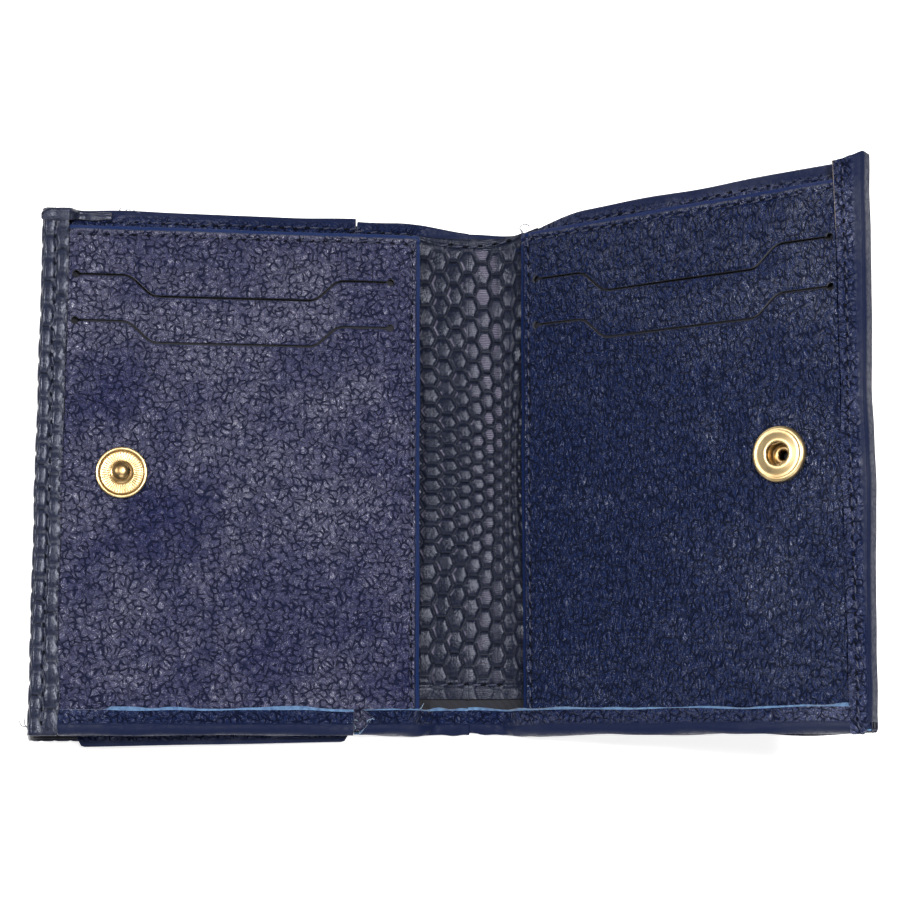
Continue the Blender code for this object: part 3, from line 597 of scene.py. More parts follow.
def sheet(name, grid, thickness, finish, inside=None, edges=None, bulge=1.0, fields=None, relief=None,
          uv=None, inner=None, flip=1, skive=None):
    """A leather sheet: its outer skin is the grid, and its inner skin lies one thickness behind.

    edges gives a finish to a border (first, last, low or high) that is cut raw; other borders are rounded
    over. relief is a height above the grid, for the outer skin only. flip turns which side is outside.
    skive is how far the high border's inner skin reaches past the outer one, which shows the raw edge.
    """
    normal = grid_normals(grid) * flip
    thickness = np.broadcast_to(np.asarray(thickness, float), grid.shape[:2])[..., None]
    back = grid - normal * thickness if inner is None else inner
    if skive is not None:
        reach = grid[:, -1] - grid[:, -2]
        reach = reach / np.linalg.norm(reach, axis=-1, keepdims=True)
        back = back.copy()
        back[:, -1] += reach * np.broadcast_to(skive, grid.shape[:1])[:, None]
    u, v = arc_lengths(grid) if uv is None else uv
    front = grid if relief is None else grid + normal * relief[..., None]
    rows, cols = grid.shape[:2]
    index = np.arange(rows * cols).reshape(rows, cols)
    border = np.concatenate([index[0, :], index[1:, -1], index[-1, -2::-1], index[-2:0:-1, 0]])
    side = ["first"] * (cols - 1) + ["high"] * (rows - 1) + ["last"] * (cols - 1) + ["low"] * (rows - 1)
    ahead = np.zeros_like(grid)
    ahead[0], ahead[-1] = grid[0] - grid[1], grid[-1] - grid[-2]
    across = np.zeros_like(grid)
    across[:, 0], across[:, -1] = grid[:, 0] - grid[:, 1], grid[:, -1] - grid[:, -2]
    out = (ahead / np.maximum(np.linalg.norm(ahead, axis=-1, keepdims=True), 1e-9)
           + across / np.maximum(np.linalg.norm(across, axis=-1, keepdims=True), 1e-9)).reshape(-1, 3)[border]
    cut = edges or {}
    round_share = np.array([0.12 if s in cut else bulge for s in side])
    top, low = front.reshape(-1, 3)[border], back.reshape(-1, 3)[border]
    half = np.linalg.norm(top - low, axis=1, keepdims=True) / 2
    rings, uvs, steps = [], [], 4
    uv_flat = np.stack([u, v], axis=-1).reshape(-1, 2)
    for step in range(1, steps):
        turn = pi * step / steps
        share = (1 - cos(turn)) / 2
        rings.append(top * (1 - share) + low * share + out * half * round_share[:, None] * sin(turn))
        uvs.append(uv_flat[border] + 0.3 * step)
    points = np.concatenate([front.reshape(-1, 3), back.reshape(-1, 3), *rings])
    count = rows * cols
    faces, slots = [], []
    quads = np.stack([index[:-1, :-1], index[1:, :-1], index[1:, 1:], index[:-1, 1:]], axis=-1).reshape(-1, 4)
    faces += quads.tolist() + (quads[:, ::-1] + count).tolist()
    finishes = [finish]
    for extra in (inside, *cut.values()):
        if extra and extra not in finishes:
            finishes.append(extra)
    slots += [0] * len(quads) + [finishes.index(inside or finish)] * len(quads)
    loop = len(border)
    between = [2 * count + step * loop + np.arange(loop) for step in range(steps - 1)]
    levels = [border, *between, border + count]
    for near, far in zip(levels, levels[1:]):
        wall = np.stack([near, np.roll(near, -1), np.roll(far, -1), far], axis=-1)
        faces += wall.tolist()
        slots += [finishes.index(cut.get(s, finish)) for s in side]
    uv_all = np.concatenate([uv_flat, uv_flat + 0.37, *uvs])
    values = {}
    for key, field in {"band": 0.0, "wear_and_sheen": 0.0, "dome": 1.0, "ribs": 0.0, **(fields or {})}.items():
        flat = np.broadcast_to(field, (rows, cols)).reshape(-1)
        values[key] = np.concatenate([flat, flat, np.tile(flat[border], steps - 1)])
    item = link_mesh(name, points, faces, finishes, slots, uv_all, values)
    return item


def spaced(low, high, step):
    return np.linspace(low, high, max(2, int(round((high - low) / step)) + 1))


def rounded_path(corners):
    """Points along a 2D path whose corners (x, y, radius, spacing after) are rounded off."""
    places = [Vector(c[:2]) for c in corners]
    path, start = [], places[0]
    for k in range(1, len(corners)):
        here, radius, step = places[k], corners[k][2], corners[k - 1][3]
        last = k == len(corners) - 1
        before = (here - places[k - 1]).normalized()
        if last or radius == 0:
            end, arc = here, []
        else:
            after = (places[k + 1] - here).normalized()
            turn = before.angle(after)
            reach = radius * np.tan(turn / 2)
            end = here - before * reach
            centre = end + (after - before * before.dot(after)).normalized() * radius
            way = 1 if before.cross(after) > 0 else -1
            arm, count = end - centre, max(3, int(radius * turn / 0.22))
            arc = [centre + Matrix.Rotation(way * turn * n / count, 2) @ arm for n in range(1, count + 1)]
        count = max(1, int(round((end - start).length / step)))
        path += [start.lerp(end, n / count) for n in range(count)]
        if last:
            path.append(end)
        elif arc:
            path += [end] + arc[:-1]
        start = arc[-1] if arc else end
    return np.array(path)


def path_lengths(path):
    """Length along a 2D path at each of its points, as a column."""
    return np.concatenate([[0], np.cumsum(np.hypot(*np.diff(path, axis=0).T))])[:, None]


def corner_inset(distance, radius):
    """How far a round corner cuts a border back, at a distance from the border beside it."""
    return radius * (1 - np.sqrt(1 - (1 - np.clip(distance / radius, 0.0, 1.0)) ** 2))


def own_body(item, side):
    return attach(item, PANEL[side])


def across_fold(item):
    """Bake the place of a piece that runs between the spine and a panel into its mesh; its bend over the fold
    comes from its grid.
    """
    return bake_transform(item)


# ------------------------------------------------------------------ shell: outer leather with turned edges
TURN_FACE = 1.05            # face of the leather turned in along the top edge
TURN_RAW = 49.5
SPINE_TURN_RAW = 54.3
SPINE_HEM_FACE = 1.25       # the bottom hem drops from the panels' stack to the bare spine
NOTCH_S = 15.9              # a V-shaped cut in the bottom hem, where the shell meets the coin pocket
POCKET_START = 16.3
POCKET_STEP = 0.5           # the pocket's top edge stands this much above the shell's
HEM_SEAM, EDGE_SEAM = 1.9, 3.25     # seams of the side hem and the edge strip, in from their raw edges
SHELL_RISE, CARD_RISE = 1.4, 0.95   # the right panel's top edges climb outwards by this much


def shell_section():
    """The shell's outer skin across one panel, as (y, h): turned in along the top and hemmed below."""
    return rounded_path([
        (TURN_RAW, TURN_FACE, 0, 0.8), (SHELL_TOP, TURN_FACE, 0.8, 0.4), (SHELL_TOP, SHELL_BACK, 0.8, 1.1),
        (SHELL_BOTTOM, SHELL_BACK, 1.4, 0.4), (SHELL_BOTTOM, HEM_FACE, 1.7, 0.45), (HEM_RAW, HEM_FACE, 0, 0)])


def shell_grid(side, distances, top_rise, hem_height, seed, end=None):
    """World grid of the shell's outer skin at distances from the spine's middle, and its (y, h).

    top_rise and hem_height give the top edge's rise and the hem's height at a distance; end gives 0..1,
    how far the bottom hem has run out there.
    """
    section = shell_section()
    d = np.asarray(distances, float)[:, None]
    y, h = section[None, :, 0] + 0 * d, section[None, :, 1] + 0 * d
    near_spine = 1 - smooth_step(d, FOLD_X + 1.0, FOLD_X + 5.0)
    inner_turn = (h > 0.7) & (y > 45)
    shrink = (SHELL_TOP - SPINE_TURN_RAW) / (SHELL_TOP - TURN_RAW)
    y = np.where(inner_turn, SHELL_TOP - (SHELL_TOP - y) * (1 - near_spine * (1 - shrink)), y)
    y = y + top_rise(d) * smooth_step(y, 42.0, 54.0)
    face = hem_height(d)
    low = y < FOOT_Y
    bent = np.where(h > HEM_BASE, HEM_BASE + (h - HEM_BASE) * (face - HEM_BASE) / (HEM_FACE - HEM_BASE), h)
    h = np.where(low, bent, h)
    y = y + np.where(low, 0.25 * waves(d + 3 * h, 0 * y, seed, 17.0) * smooth_step(-y, 50.0, 56.0), 0)
    if end is not None:
        gone = end(d)
        hem = low & (section[None, :, 1] > HEM_BASE)
        y = np.where(hem, SHELL_BOTTOM + 0.4 + (y - SHELL_BOTTOM - 0.4) * (1 - gone * 0.97), y)
        y = np.where(hem, np.maximum(y, SHELL_BOTTOM), y)
        h = np.where(hem, np.minimum(h, h * (1 - gone) + gone * (h * 0.78)), h)
    return over_fold(side, d, y, h), y, h


def shell_fields(d, y, h):
    """Where the shell's grain is smoothed: over its folded edges."""
    near_spine = 1 - smooth_step(d, 8.0, 14.0)
    rim = np.maximum(bell(y - SHELL_TOP, 1.5), near_spine) * (h > -0.2) * (y > 40)
    foot = smooth_step(-y, -SHELL_BOTTOM - 2.9, -SHELL_BOTTOM - 2.2) * (h > HEM_BASE)
    return {"band": np.clip(rim + foot, 0, 1), "wear_and_sheen": 0.35 * waves(d + 0 * y, y, 5, 40.0)}


def spine_dip(side, d):
    """The top edge hangs lower over the spine, where nothing stiffens it, and most at the right fold."""
    if side == LEFT:
        return -2.7 * (1 - smooth_step(d, -3.0, 17.0)) + 0.12 * np.sin(d / 5.0)
    sag = (-2.4 - 0.9 * bell(d - 11.0, 8.0)) * (1 - smooth_step(d, 13.0, 30.0)) + 0.12 * np.sin(d / 5.0)
    return sag + SHELL_RISE * np.clip((d - FOLD_X - 6.0) / 75.0, 0.0, 1.2)


def build_shell():
    thickness = bpy.context.scene.wallet_leather.thickness / MM
    for side in (LEFT, RIGHT):
        cut = {"low": "raw_dark", "high": "raw"}
        if side == LEFT:
            distances = spaced(0.0, FOLD_X + NOTCH_S, 0.6)
            cut["last"] = "raw"
        else:
            distances = spaced(0.0, FOLD_X + PANEL_EDGE - 1.5, 0.9)

        def hem_height(d):
            climb = smooth_step(d, FOLD_X - 3.5, FOLD_X + (3.2 if side == LEFT else 5.5))
            return SPINE_HEM_FACE + (HEM_FACE - SPINE_HEM_FACE) * climb

        side_end = None
        if side == RIGHT:
            side_end = lambda d: smooth_step(d, FOLD_X + SIDE_HEM + 0.2, FOLD_X + SIDE_HEM + 0.9)
            distances = np.concatenate([distances[distances < FOLD_X + SIDE_HEM],
                                        FOLD_X + SIDE_HEM + np.array([0.1, 0.35, 0.6, 0.95, 1.6, 2.6, 3.95])])
        grid, y, h = shell_grid(side, distances, lambda d: spine_dip(side, d), hem_height, 11 + side,
                                end=side_end)
        d = distances[:, None] + 0 * y
        if side == LEFT:        # the hem's end at the notch is cut on a slant
            hem = (h > 1.0) & (y < FOOT_Y)
            rows = smooth_step(d, FOLD_X + 9.0, FOLD_X + NOTCH_S)
            slant = np.interp(-y, [53.7, 55.2, 59.1], [2.1, 3.9, 0.9])
            grid = over_fold(side, d - np.where(hem, rows * slant, 0), y, h)
        crumple = bell(d - 4.0, 9.0) * smooth_step(-y, 50.0, 55.0) * 0.28 * waves(d, y + 2 * h, 21, 4.5)
        relief = crumple + 0.10 * waves(d, y, 31 + side, 26.0)
        relief = relief - 0.14 * bell(y - (SHELL_TOP - 2.9), 0.5) * (h > 0.8)
        relief = np.where(h < -0.2, np.minimum(relief, 0.0), relief)
        name = "shell_left_inner" if side == LEFT else "shell_right"
        ragged = 0.5 + 0.22 * waves(distances, 0 * distances, 23 + side, 7.0)
        item = sheet(name, grid, thickness, "shell", inside="raw_dark", edges=cut, flip=side,
                     fields=shell_fields(d, y, h), relief=relief, skive=np.clip(ragged, 0.3, 1.0))
        across_fold(item)
        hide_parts(*(("spine_shell", "left_shell") if side == LEFT else ("right_shell",)))


def build_pocket_back():
    """Back of the coin pocket: the left panel's shell leather beyond the notch."""
    distances = FOLD_X + np.concatenate([spaced(POCKET_START, EDGE_LIP - 0.3, 0.9),
                                         EDGE_LIP + np.array([-0.1, 0.1, 0.4, 1.2, 3.0, 5.4])])

    def step(d):
        return POCKET_STEP + 0.15 * np.sin(d / 9.0)

    end = lambda d: smooth_step(d, FOLD_X + EDGE_LIP - 0.25, FOLD_X + EDGE_LIP + 0.35)
    grid, y, h = shell_grid(LEFT, distances, step, lambda d: HEM_FACE + 0 * d, 13, end=end)
    d = distances[:, None] + 0 * y
    relief = 0.10 * waves(d, y, 33, 26.0) - 0.14 * bell(y - (SHELL_TOP - 2.6), 0.5) * (h > 0.8)
    ragged = (0.7 + 0.55 * bell(distances - FOLD_X - 42.0, 18.0)
              + 0.2 * waves(distances, 0 * distances, 29, 9.0))
    shown = np.clip(ragged, 0.4, 1.5) * (1 - smooth_step(distances, FOLD_X + 68.5, FOLD_X + 70.5)) + 0.04
    item = sheet("pocket_back_leather", grid, bpy.context.scene.wallet_leather.thickness / MM, "shell",
                 inside="raw_dark", edges={"low": "raw_dark", "high": "raw", "first": "worn"}, flip=LEFT,
                 fields=shell_fields(d, y, h), relief=relief, skive=shown)
    own_body(item, LEFT)
    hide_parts("coin_pocket_back")


def build_side_hem():
    """The right panel's outer edge: the shell leather turned in over the card panel and stitched."""
    section = rounded_path([(PANEL_EDGE - 1.5, SHELL_BACK, 0, 0.5), (PANEL_EDGE, SHELL_BACK, 1.1, 0.4),
                            (PANEL_EDGE, HEM_FACE, 1.3, 0.4), (SIDE_HEM, HEM_FACE, 0, 0)])
    rows = spaced(SHELL_BOTTOM + 0.1, SHELL_TOP, 0.7)[:, None]
    s, h = section[None, :, 0] + 0 * rows, section[None, :, 1] + 0 * rows
    outer = smooth_step(s, SIDE_HEM, PANEL_EDGE)
    ear = SHELL_RISE - 0.2 + 0.7 * outer ** 4 - 0.5 * (1 - outer) ** 3
    y = rows + smooth_step(rows, 50.0, SHELL_TOP) * ear
    foot = 1 - smooth_step(rows, SHELL_BOTTOM, SHELL_BOTTOM + 4.0)
    y = y + foot * 2.4 * smooth_step(s, PANEL_EDGE - 2.6, PANEL_EDGE) ** 2
    s = s + outer * (0.9 * smooth_step(rows, 10.0, SHELL_TOP) - 1.0 * smooth_step(-rows, 5.0, -SHELL_BOTTOM))
    s = s + 0.18 * waves(y, 0 * s, 41, 34.0) * (1 - outer) + 0.1 * waves(y, 0 * s, 43, 22.0) * outer
    lie = h > 3.9
    grid = on_panel(RIGHT, s, y, h - OUTER_DROP * lie * smooth_step(s, SIDE_HEM + 0.5, SIDE_HEM + 4.5))
    relief = lie * (-0.2 * bell(s - (SIDE_HEM + HEM_SEAM), 0.42) + 0.14 * bell(s - (SIDE_HEM + 3.1), 0.5))
    relief = relief + 0.06 * waves(s, y, 45, 12.0)
    fields = {"band": np.clip(smooth_step(s, SIDE_HEM + 3.2, SIDE_HEM + 4.2), 0, 1) * (h > -0.3), "wear_and_sheen": 0.4}
    item = sheet("shell_right_side_hem", grid, 0.58, "shell", inside="raw_dark", edges={"high": "worn"},
                 fields=fields, relief=relief, flip=1, skive=0.06 + 0.3 * smooth_step(rows[:, 0], 38.0, 46.0))
    own_body(item, RIGHT)
    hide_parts("right_shell")


def build_bill_lining():
    """The bill compartment's lining: two halves that meet at the spine's middle and cross the folds."""
    for side in (LEFT, RIGHT):
        d = spaced(0.0, FOLD_X + STACK_EDGE - 0.5, 1.5)[:, None]
        y = spaced(SHELL_BOTTOM + 1.2, SHELL_TOP - 1.3, 3.0)[None, :]
        low = spine_dip(side, d) * smooth_step(y, 42.0, 54.0)
        grid = over_fold(side, d + 0 * y, y + low, 0.46 + 0 * d + 0 * y)
        item = sheet("bill_lining_" + SIDE_NAME[side], grid, 0.4, "lining",
                     inside="lining", flip=side)
        across_fold(item)


# ------------------------------------------------------------------ embossed scales
def scale_field(x, y, column, phase, groove=0.35):
    """Height 0..1 of embossed scales at (x, y): domes on a lattice of columns, offset by half a scale.

    column(k, y) is the place of column k, and phase(x, y) counts scales along a column. A point's height
    comes from its distance to the nearest edge between two scales.
    """
    steps = np.arange(-14, 15)
    first = np.stack([column(k, y) for k in steps])
    nearest = steps[np.abs(first - x[None]).argmin(axis=0)]
    gaps = []
    for shift in (-1, 0, 1):
        k = nearest + shift
        centre = column(k, y)
        count = phase(centre, y) - 0.5 * (k % 2)
        for jump in (-1, 0, 1):
            # stretched so that the cells are regular hexagons with flat tops
            reach = (column(k + 0.5, y) - column(k - 0.5, y)) / cos(pi / 6)
            gaps.append((x - centre, (count - np.round(count) - jump) * reach))
    gap = np.array(gaps)
    square = (gap ** 2).sum(axis=1)
    best = square.argmin(axis=0)[None]
    near = np.take_along_axis(square, best, axis=0)
    own = np.take_along_axis(gap, np.broadcast_to(best[:, None], (1, 2) + best.shape[1:]), axis=0)
    apart = np.sqrt(((gap - own) ** 2).sum(axis=1))
    edge = np.where(apart > 1e-6, (square - near) / np.maximum(2 * apart, 1e-6), np.inf).min(axis=0)
    return 1 - np.exp(-np.clip(edge, 0, None) / groove)


def spine_column(k, y):
    """Columns run straight at the strip's ends and fan out around its middle, wide on the left."""
    middle = np.exp(-(y / 31.0) ** 2)
    straight = -10.3 + 3.36 * k
    capped = np.clip(k, -3, 6)
    fanned = (-8.15 + 4.25 * capped - 0.225 * capped ** 2 + 1.55 * np.maximum(k - 6, 0)
              + 5.6 * np.minimum(k + 3, 0))
    return straight * (1 - middle) + fanned * middle


def spine_phase(x, y):
    return 0.186 * y + 0.125 * 18.0 * np.tanh(y / 18.0) + (0.008 + 0.028 * bell(y, 22.0)) * x + 0.35


def build_spine_strip():
    """The embossed strip down the spine, in two halves that meet in its middle and cross the folds."""
    height = bpy.context.scene.wallet_leather.scale_height / MM
    face, back = STRIP_HIGH.z / MM - FOLD_Z, STRIP_LOW.z / MM - FOLD_Z
    for side, reach in ((LEFT, FOLD_X + 4.5), (RIGHT, FOLD_X + 8.0)):
        d = spaced(0.0, reach, 0.2)[:, None]
        y = spaced(STRIP_LOW.y / MM + 0.2, STRIP_HIGH.y / MM - 0.2, 0.22)[None, :]
        x, yy = side * d + 0 * y, y + 0 * d
        dome = scale_field(x, yy, spine_column, spine_phase)
        fade = smooth_step(yy, STRIP_LOW.y / MM + 0.4, STRIP_LOW.y / MM + 7.0) * 0.75 + 0.25
        fade = fade * (0.1 + 0.9 * smooth_step(STRIP_HIGH.y / MM - yy, 1.0, 4.5))
        sag = 0.9 * ((x - 1.0) / 12.0) ** 2 * smooth_step(yy, 40.0, 54.0)
        edge_y = yy + sag
        bowed = face + 0.35 * np.cos(pi * np.clip(x / 17.0, -1, 1)) * bell(yy, 60.0)
        grid = over_fold(side, d + 0 * y, edge_y, bowed)
        seam = STRIP_HIGH.y / MM - 1.9 + 1.1 * (x / 11.0) ** 2
        ends = 0.16 * (bell(yy - (STRIP_LOW.y / MM + 3.2), 0.5) + bell(yy - seam, 0.45))
        relief = height * (dome - 1) * fade - ends + 0.05 * waves(x, yy, 51, 9.0)
        # painted highlight: a lane of pale ribs where the strip's curve would mirror the lights; the ribs'
        # bump is real relief
        lit_lane = 3.6 + 2.0 * bell(yy, 30.0)
        ribs = bell(x - lit_lane, 2.2) * smooth_step(yy, -6.0, 14.0) + 0.45 * bell(x - lit_lane, 3.5)
        ribs = np.clip(ribs * (0.75 + 0.5 * waves(x, yy, 53, 6.0)), 0, 1)
        # painted glints: a pale line down each scale's left-facing slope, on the columns left of 6 mm, where
        # the left light would catch it
        slope = np.gradient(dome, axis=0) * side        # rises to the right on a scale's left side
        rim = bell(dome - 0.86, 0.09) * smooth_step(slope, 0.02, 0.09) * (1 - smooth_step(x, 0.0, 6.0))
        rim = rim * np.clip(0.3 + 1.1 * waves(x, yy, 57, 3.0), 0, 1)
        fields = {"dome": dome * fade + (1 - fade) * 0.6, "ribs": ribs, "wear_and_sheen": rim * fade}
        item = sheet("spine_strip_" + SIDE_NAME[side], grid, face - back - 0.02,
                     "embossed", inside="raw_dark", edges={"low": "raw_dark"}, fields=fields, relief=relief,
                     uv=(x, yy), flip=side)
        across_fold(item)
        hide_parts("spine_strip")


def strip_column(k, y):
    return SCALE_COLUMN * k + 0.25 * np.sin(y / 13.0)


def strip_scales(x, y):
    """Scales of the edge strip and flap, in even columns."""
    return scale_field(x, y, strip_column, lambda a, b: b / SCALE_LENGTH + 0.1 * np.sin(a / 4.0 + b / 17.0))


# ------------------------------------------------------------------ edge strip and coin flap
FLAP_END_A = 36.0           # the flap's free end, outer face and outer wall in the pocket's frame
FLAP_OUTER_B = 0.8
FLAP_WALL_A = 70.25
FLAP_CORNER = 12.0
SCALE_COLUMN = 3.3          # width and length of the scales on the edge strip and the flap
SCALE_LENGTH = 5.1
OUTER_DROP = 0.25           # the outer borders lie lower, so the closed wallet's sides clear each other


def wrap_section():
    """The embossed leather's outer skin as world (x, z): lip, outer edge, hinge, bend and flap."""
    def from_panel(s, h):
        place = on_panel(LEFT, s, 0.0, h)
        return place[0], place[2]

    def from_pocket(a, b):
        place = on_pocket(a, 0.0, b)
        return place[0], place[2]

    return rounded_path([
        (*from_panel(EDGE_LIP, HEM_FACE), 0, 0.35),
        (*from_panel(PANEL_EDGE, HEM_FACE - OUTER_DROP), 1.3, 0.35),
        (*from_panel(PANEL_EDGE, -0.9), 6.0, 0.35), (*from_pocket(FLAP_WALL_A, 7.0), 8.0, 0.35),
        (*from_pocket(FLAP_WALL_A, FLAP_OUTER_B), 3.6, 0.5), (*from_pocket(FLAP_END_A, FLAP_OUTER_B), 0, 0)])


def build_wrap():
    """Edge strip and coin flap, one embossed sheet round the left outer edge, and the flap's lining."""
    section = wrap_section()
    length = path_lengths(section)
    on_flap = smooth_step(-section[:, 1:2], -12.0, -8.0)
    inset = corner_inset(length[-1, 0] - length, FLAP_CORNER)
    rows = np.linspace(0, 1, 235)[None, :]
    low = (SHELL_BOTTOM + 0.1) * (1 - on_flap) - 60.1 * on_flap + inset
    high = (SHELL_TOP - 0.3) * (1 - on_flap) + 56.9 * on_flap - inset
    y = low + (high - low) * rows
    x, z = section[:, 0:1] + 0 * y, section[:, 1:2] + 0 * y
    lip = 1 - smooth_step(length, 2.0, 6.5)
    x = x + 0.16 * waves(y, 0 * y, 61, 33.0) * (lip + 0.4 * (1 - on_flap))
    x = x - 0.75 * smooth_step(y, SHELL_BOTTOM + 1.0, -25.0) * (1 - smooth_step(length, 0.5, 4.5))
    grid = np.stack([x, y, z], axis=-1)
    # the two columns of scales on the strip lie either side of its stitches
    across = length - SCALE_COLUMN * 0.5
    dome = strip_scales(across + 0 * y, y)
    strip_part = 1 - smooth_step(length, 7.0, 9.0)
    seam = strip_part * bell(length - EDGE_SEAM, 0.55)
    relief = 0.42 * (dome - 1) - 0.16 * seam + 0.07 * waves(length + 0 * y, y, 63, 11.0)
    pinch = strip_part * (smooth_step(y, SHELL_TOP - 6, SHELL_TOP - 1)
                          + smooth_step(-y, -SHELL_BOTTOM - 6, -SHELL_BOTTOM - 1))
    relief = relief * (1 - 0.6 * pinch)
    hollow = strip_part * bell(length - 6.6, 0.8) * 0.12
    item = sheet("edge_strip_and_flap", grid, 0.62, "edge", inside="raw_dark", edges={"first": "raw_dark"},
                 fields={"dome": dome, "ribs": 0.4 * (1 - strip_part)}, relief=relief - hollow,
                 uv=(length + 0 * y, y), flip=-1)
    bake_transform(item)
    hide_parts("edge_strip", "coin_flap")

    inner = rounded_path([(FLAP_WALL_A - 0.8, 7.4, 0, 0.5), (FLAP_WALL_A - 0.8, 1.62, 2.9, 0.5),
                          (FLAP_END_A + 0.4, 1.62, 0, 0)])
    run = path_lengths(inner)
    inset = corner_inset(run[-1, 0] - run, FLAP_CORNER) + 0.5
    y = -60.2 + inset + (117.2 - 2 * inset) * np.linspace(0, 1, 60)[None, :]
    grid = on_pocket(inner[:, 0:1] + 0 * y, y, inner[:, 1:2] + 0 * y)
    lining = sheet("flap_lining_twill", grid, 0.26, "lining", inside="lining", flip=1)
    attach(lining, "coin_flap")
    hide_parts("coin_flap_lining")


def build_corner_cap():
    """The folded end of the embossed strip that caps the left panel's top outer corner."""
    s = spaced(71.5, PANEL_EDGE - 0.1, 0.3)[:, None]
    top = SHELL_TOP - 0.1
    face, tail_face, base = 4.45, 1.75, 0.9     # the cap's tail lies flat on the turned-in leather
    path = rounded_path([(55.4, face, 0, 0.3), (top, face, 0.8, 0.3), (top, -1.1, 0.8, 0.4),
                         (55.0, -1.1, 0, 0)])
    y, h = path[None, :, 0] + 0 * s, path[None, :, 1] + 0 * s
    high = smooth_step(s, 78.6, 80.6)
    flat = (tail_face - base) / (face - base)
    h = np.where(h > base, base + (h - base) * ((1 - high) * flat + high), h)
    tail = (1 - smooth_step(s, 71.5, 76.0))
    y = y - tail * (y - 56.6) * 0.35 * (h > 0) - 0.9 * high * (1 - smooth_step(y, 55.6, 57.0)) * (h > base)
    y = y + 0.1 * waves(s, 0 * h, 71, 9.0) - 1.1 * smooth_step(s, 83.5, PANEL_EDGE + 0.25) ** 2 * (y > 56)
    grid = on_panel(LEFT, s + 0 * y, y, h)
    relief = 0.07 * waves(s + 0 * y, y + h, 73, 5.0) + 0.22 * bell(y - top + 0.5, 0.5) * (h > 0.5)
    dome = np.clip(0.65 + 0.35 * waves(s + 0 * y, y + h, 75, 3.0), 0, 1)
    item = sheet("corner_cap", grid, 0.5, "edge", inside="raw_dark",
                 edges={"low": "raw_dark", "first": "worn"}, fields={"dome": dome}, relief=relief, flip=-1)
    own_body(item, LEFT)


# ------------------------------------------------------------------ card panels
SLOT_RUNS = (0.0, 12.0, 17.0, 53.4, 58.4, 70.2)     # where a slot bends, from its inner end
SLOT_RADII = (0, 4.4, 4.0, 4.0, 4.4, 0)
SLOT_INSET = {LEFT: 6.75, RIGHT: 4.1}
BEAD, SEAM = 1.32, 1.95     # a turned edge's bead and seam, in from the edge


def slot_line(side, height):
    """The middle line of a die-cut slot: flat, down, flat, up, flat, with eased bends."""
    dip = bpy.context.scene.wallet_slots.dip / MM
    start = CARD_START[side] + SLOT_INSET[side]
    drops = (0, 0, dip, dip, 0, 0)
    return rounded_path([(start + run, height - drop, radius, 0.8)
                         for run, drop, radius in zip(SLOT_RUNS, drops, SLOT_RADII)])


def slot_outline(side, height):
    """The slot's outline: the line widened, with a punched hole at each end."""
    sizes = bpy.context.scene.wallet_slots
    half, radius = sizes.width / MM / 2, sizes.hole / MM
    line = slot_line(side, height)
    ahead = np.gradient(line, axis=0)
    across = np.stack([-ahead[:, 1], ahead[:, 0]], axis=1) / np.linalg.norm(ahead, axis=1, keepdims=True)
    mouth = asin(half / radius)
    inner = slice(2, -2)

    def hole(centre, facing):
        turns = facing + mouth + (2 * pi - 2 * mouth) * np.linspace(0, 1, 19)
        return centre + radius * np.stack([np.cos(turns), np.sin(turns)], axis=1)

    return np.concatenate([hole(line[0], 0.0), (line - across * half)[inner], hole(line[-1], pi),
                           (line + across * half)[inner][::-1]])


def line_distance(s, y, line):
    """Distance from points to a polyline."""
    best = np.full(s.shape, 1e9)
    for first, last in zip(line, line[1:]):
        step = last - first
        share = np.clip(((s - first[0]) * step[0] + (y - first[1]) * step[1]) / (step @ step), 0, 1)
        best = np.minimum(best, np.hypot(s - first[0] - share * step[0], y - first[1] - share * step[1]))
    return best


def cut_through(item, side, outlines, low, high):
    """Cut prisms through a piece on a panel: each outline is (s, y), from height low to high."""
    bm = bmesh.new()
    for outline in outlines:
        ends = []
        for h in (low, high):
            places = on_panel(side, outline[:, 0], outline[:, 1], h) * MM
            ends.append([bm.verts.new(place) for place in places])
        count = len(outline)
        for k in range(count):
            n = (k + 1) % count
            bm.faces.new((ends[0][k], ends[0][n], ends[1][n], ends[1][k]))
        bm.faces.new(ends[0][::-1])
        bm.faces.new(ends[1])
    bmesh.ops.triangulate(bm, faces=[face for face in bm.faces if len(face.verts) > 4])
    bm.normal_update()
    bmesh.ops.recalc_face_normals(bm, faces=bm.faces[:])
    mesh = bpy.data.meshes.new("cutter")
    bm.to_mesh(mesh)
    bm.free()
    for material in item.data.materials:
        mesh.materials.append(material)
    mesh.polygons.foreach_set("material_index", [1] * len(mesh.polygons))
    cutter = place_object("cutter", mesh)
    boolean = item.modifiers.new("cut", "BOOLEAN")
    boolean.operation, boolean.solver, boolean.object = "DIFFERENCE", "EXACT", cutter
    baked = bpy.data.meshes.new_from_object(item.evaluated_get(bpy.context.evaluated_depsgraph_get()))
    item.modifiers.clear()
    old, item.data = item.data, baked
    bpy.data.meshes.remove(old)
    bpy.data.objects.remove(cutter)
    baked.name = item.name
    baked.set_sharp_from_angle(angle=radians(40))


def ring(centre, radius, count=40):
    turns = np.linspace(0, 2 * pi, count, endpoint=False)
    return np.stack([centre[0] + radius * np.cos(turns), centre[1] + radius * np.sin(turns)], axis=1)


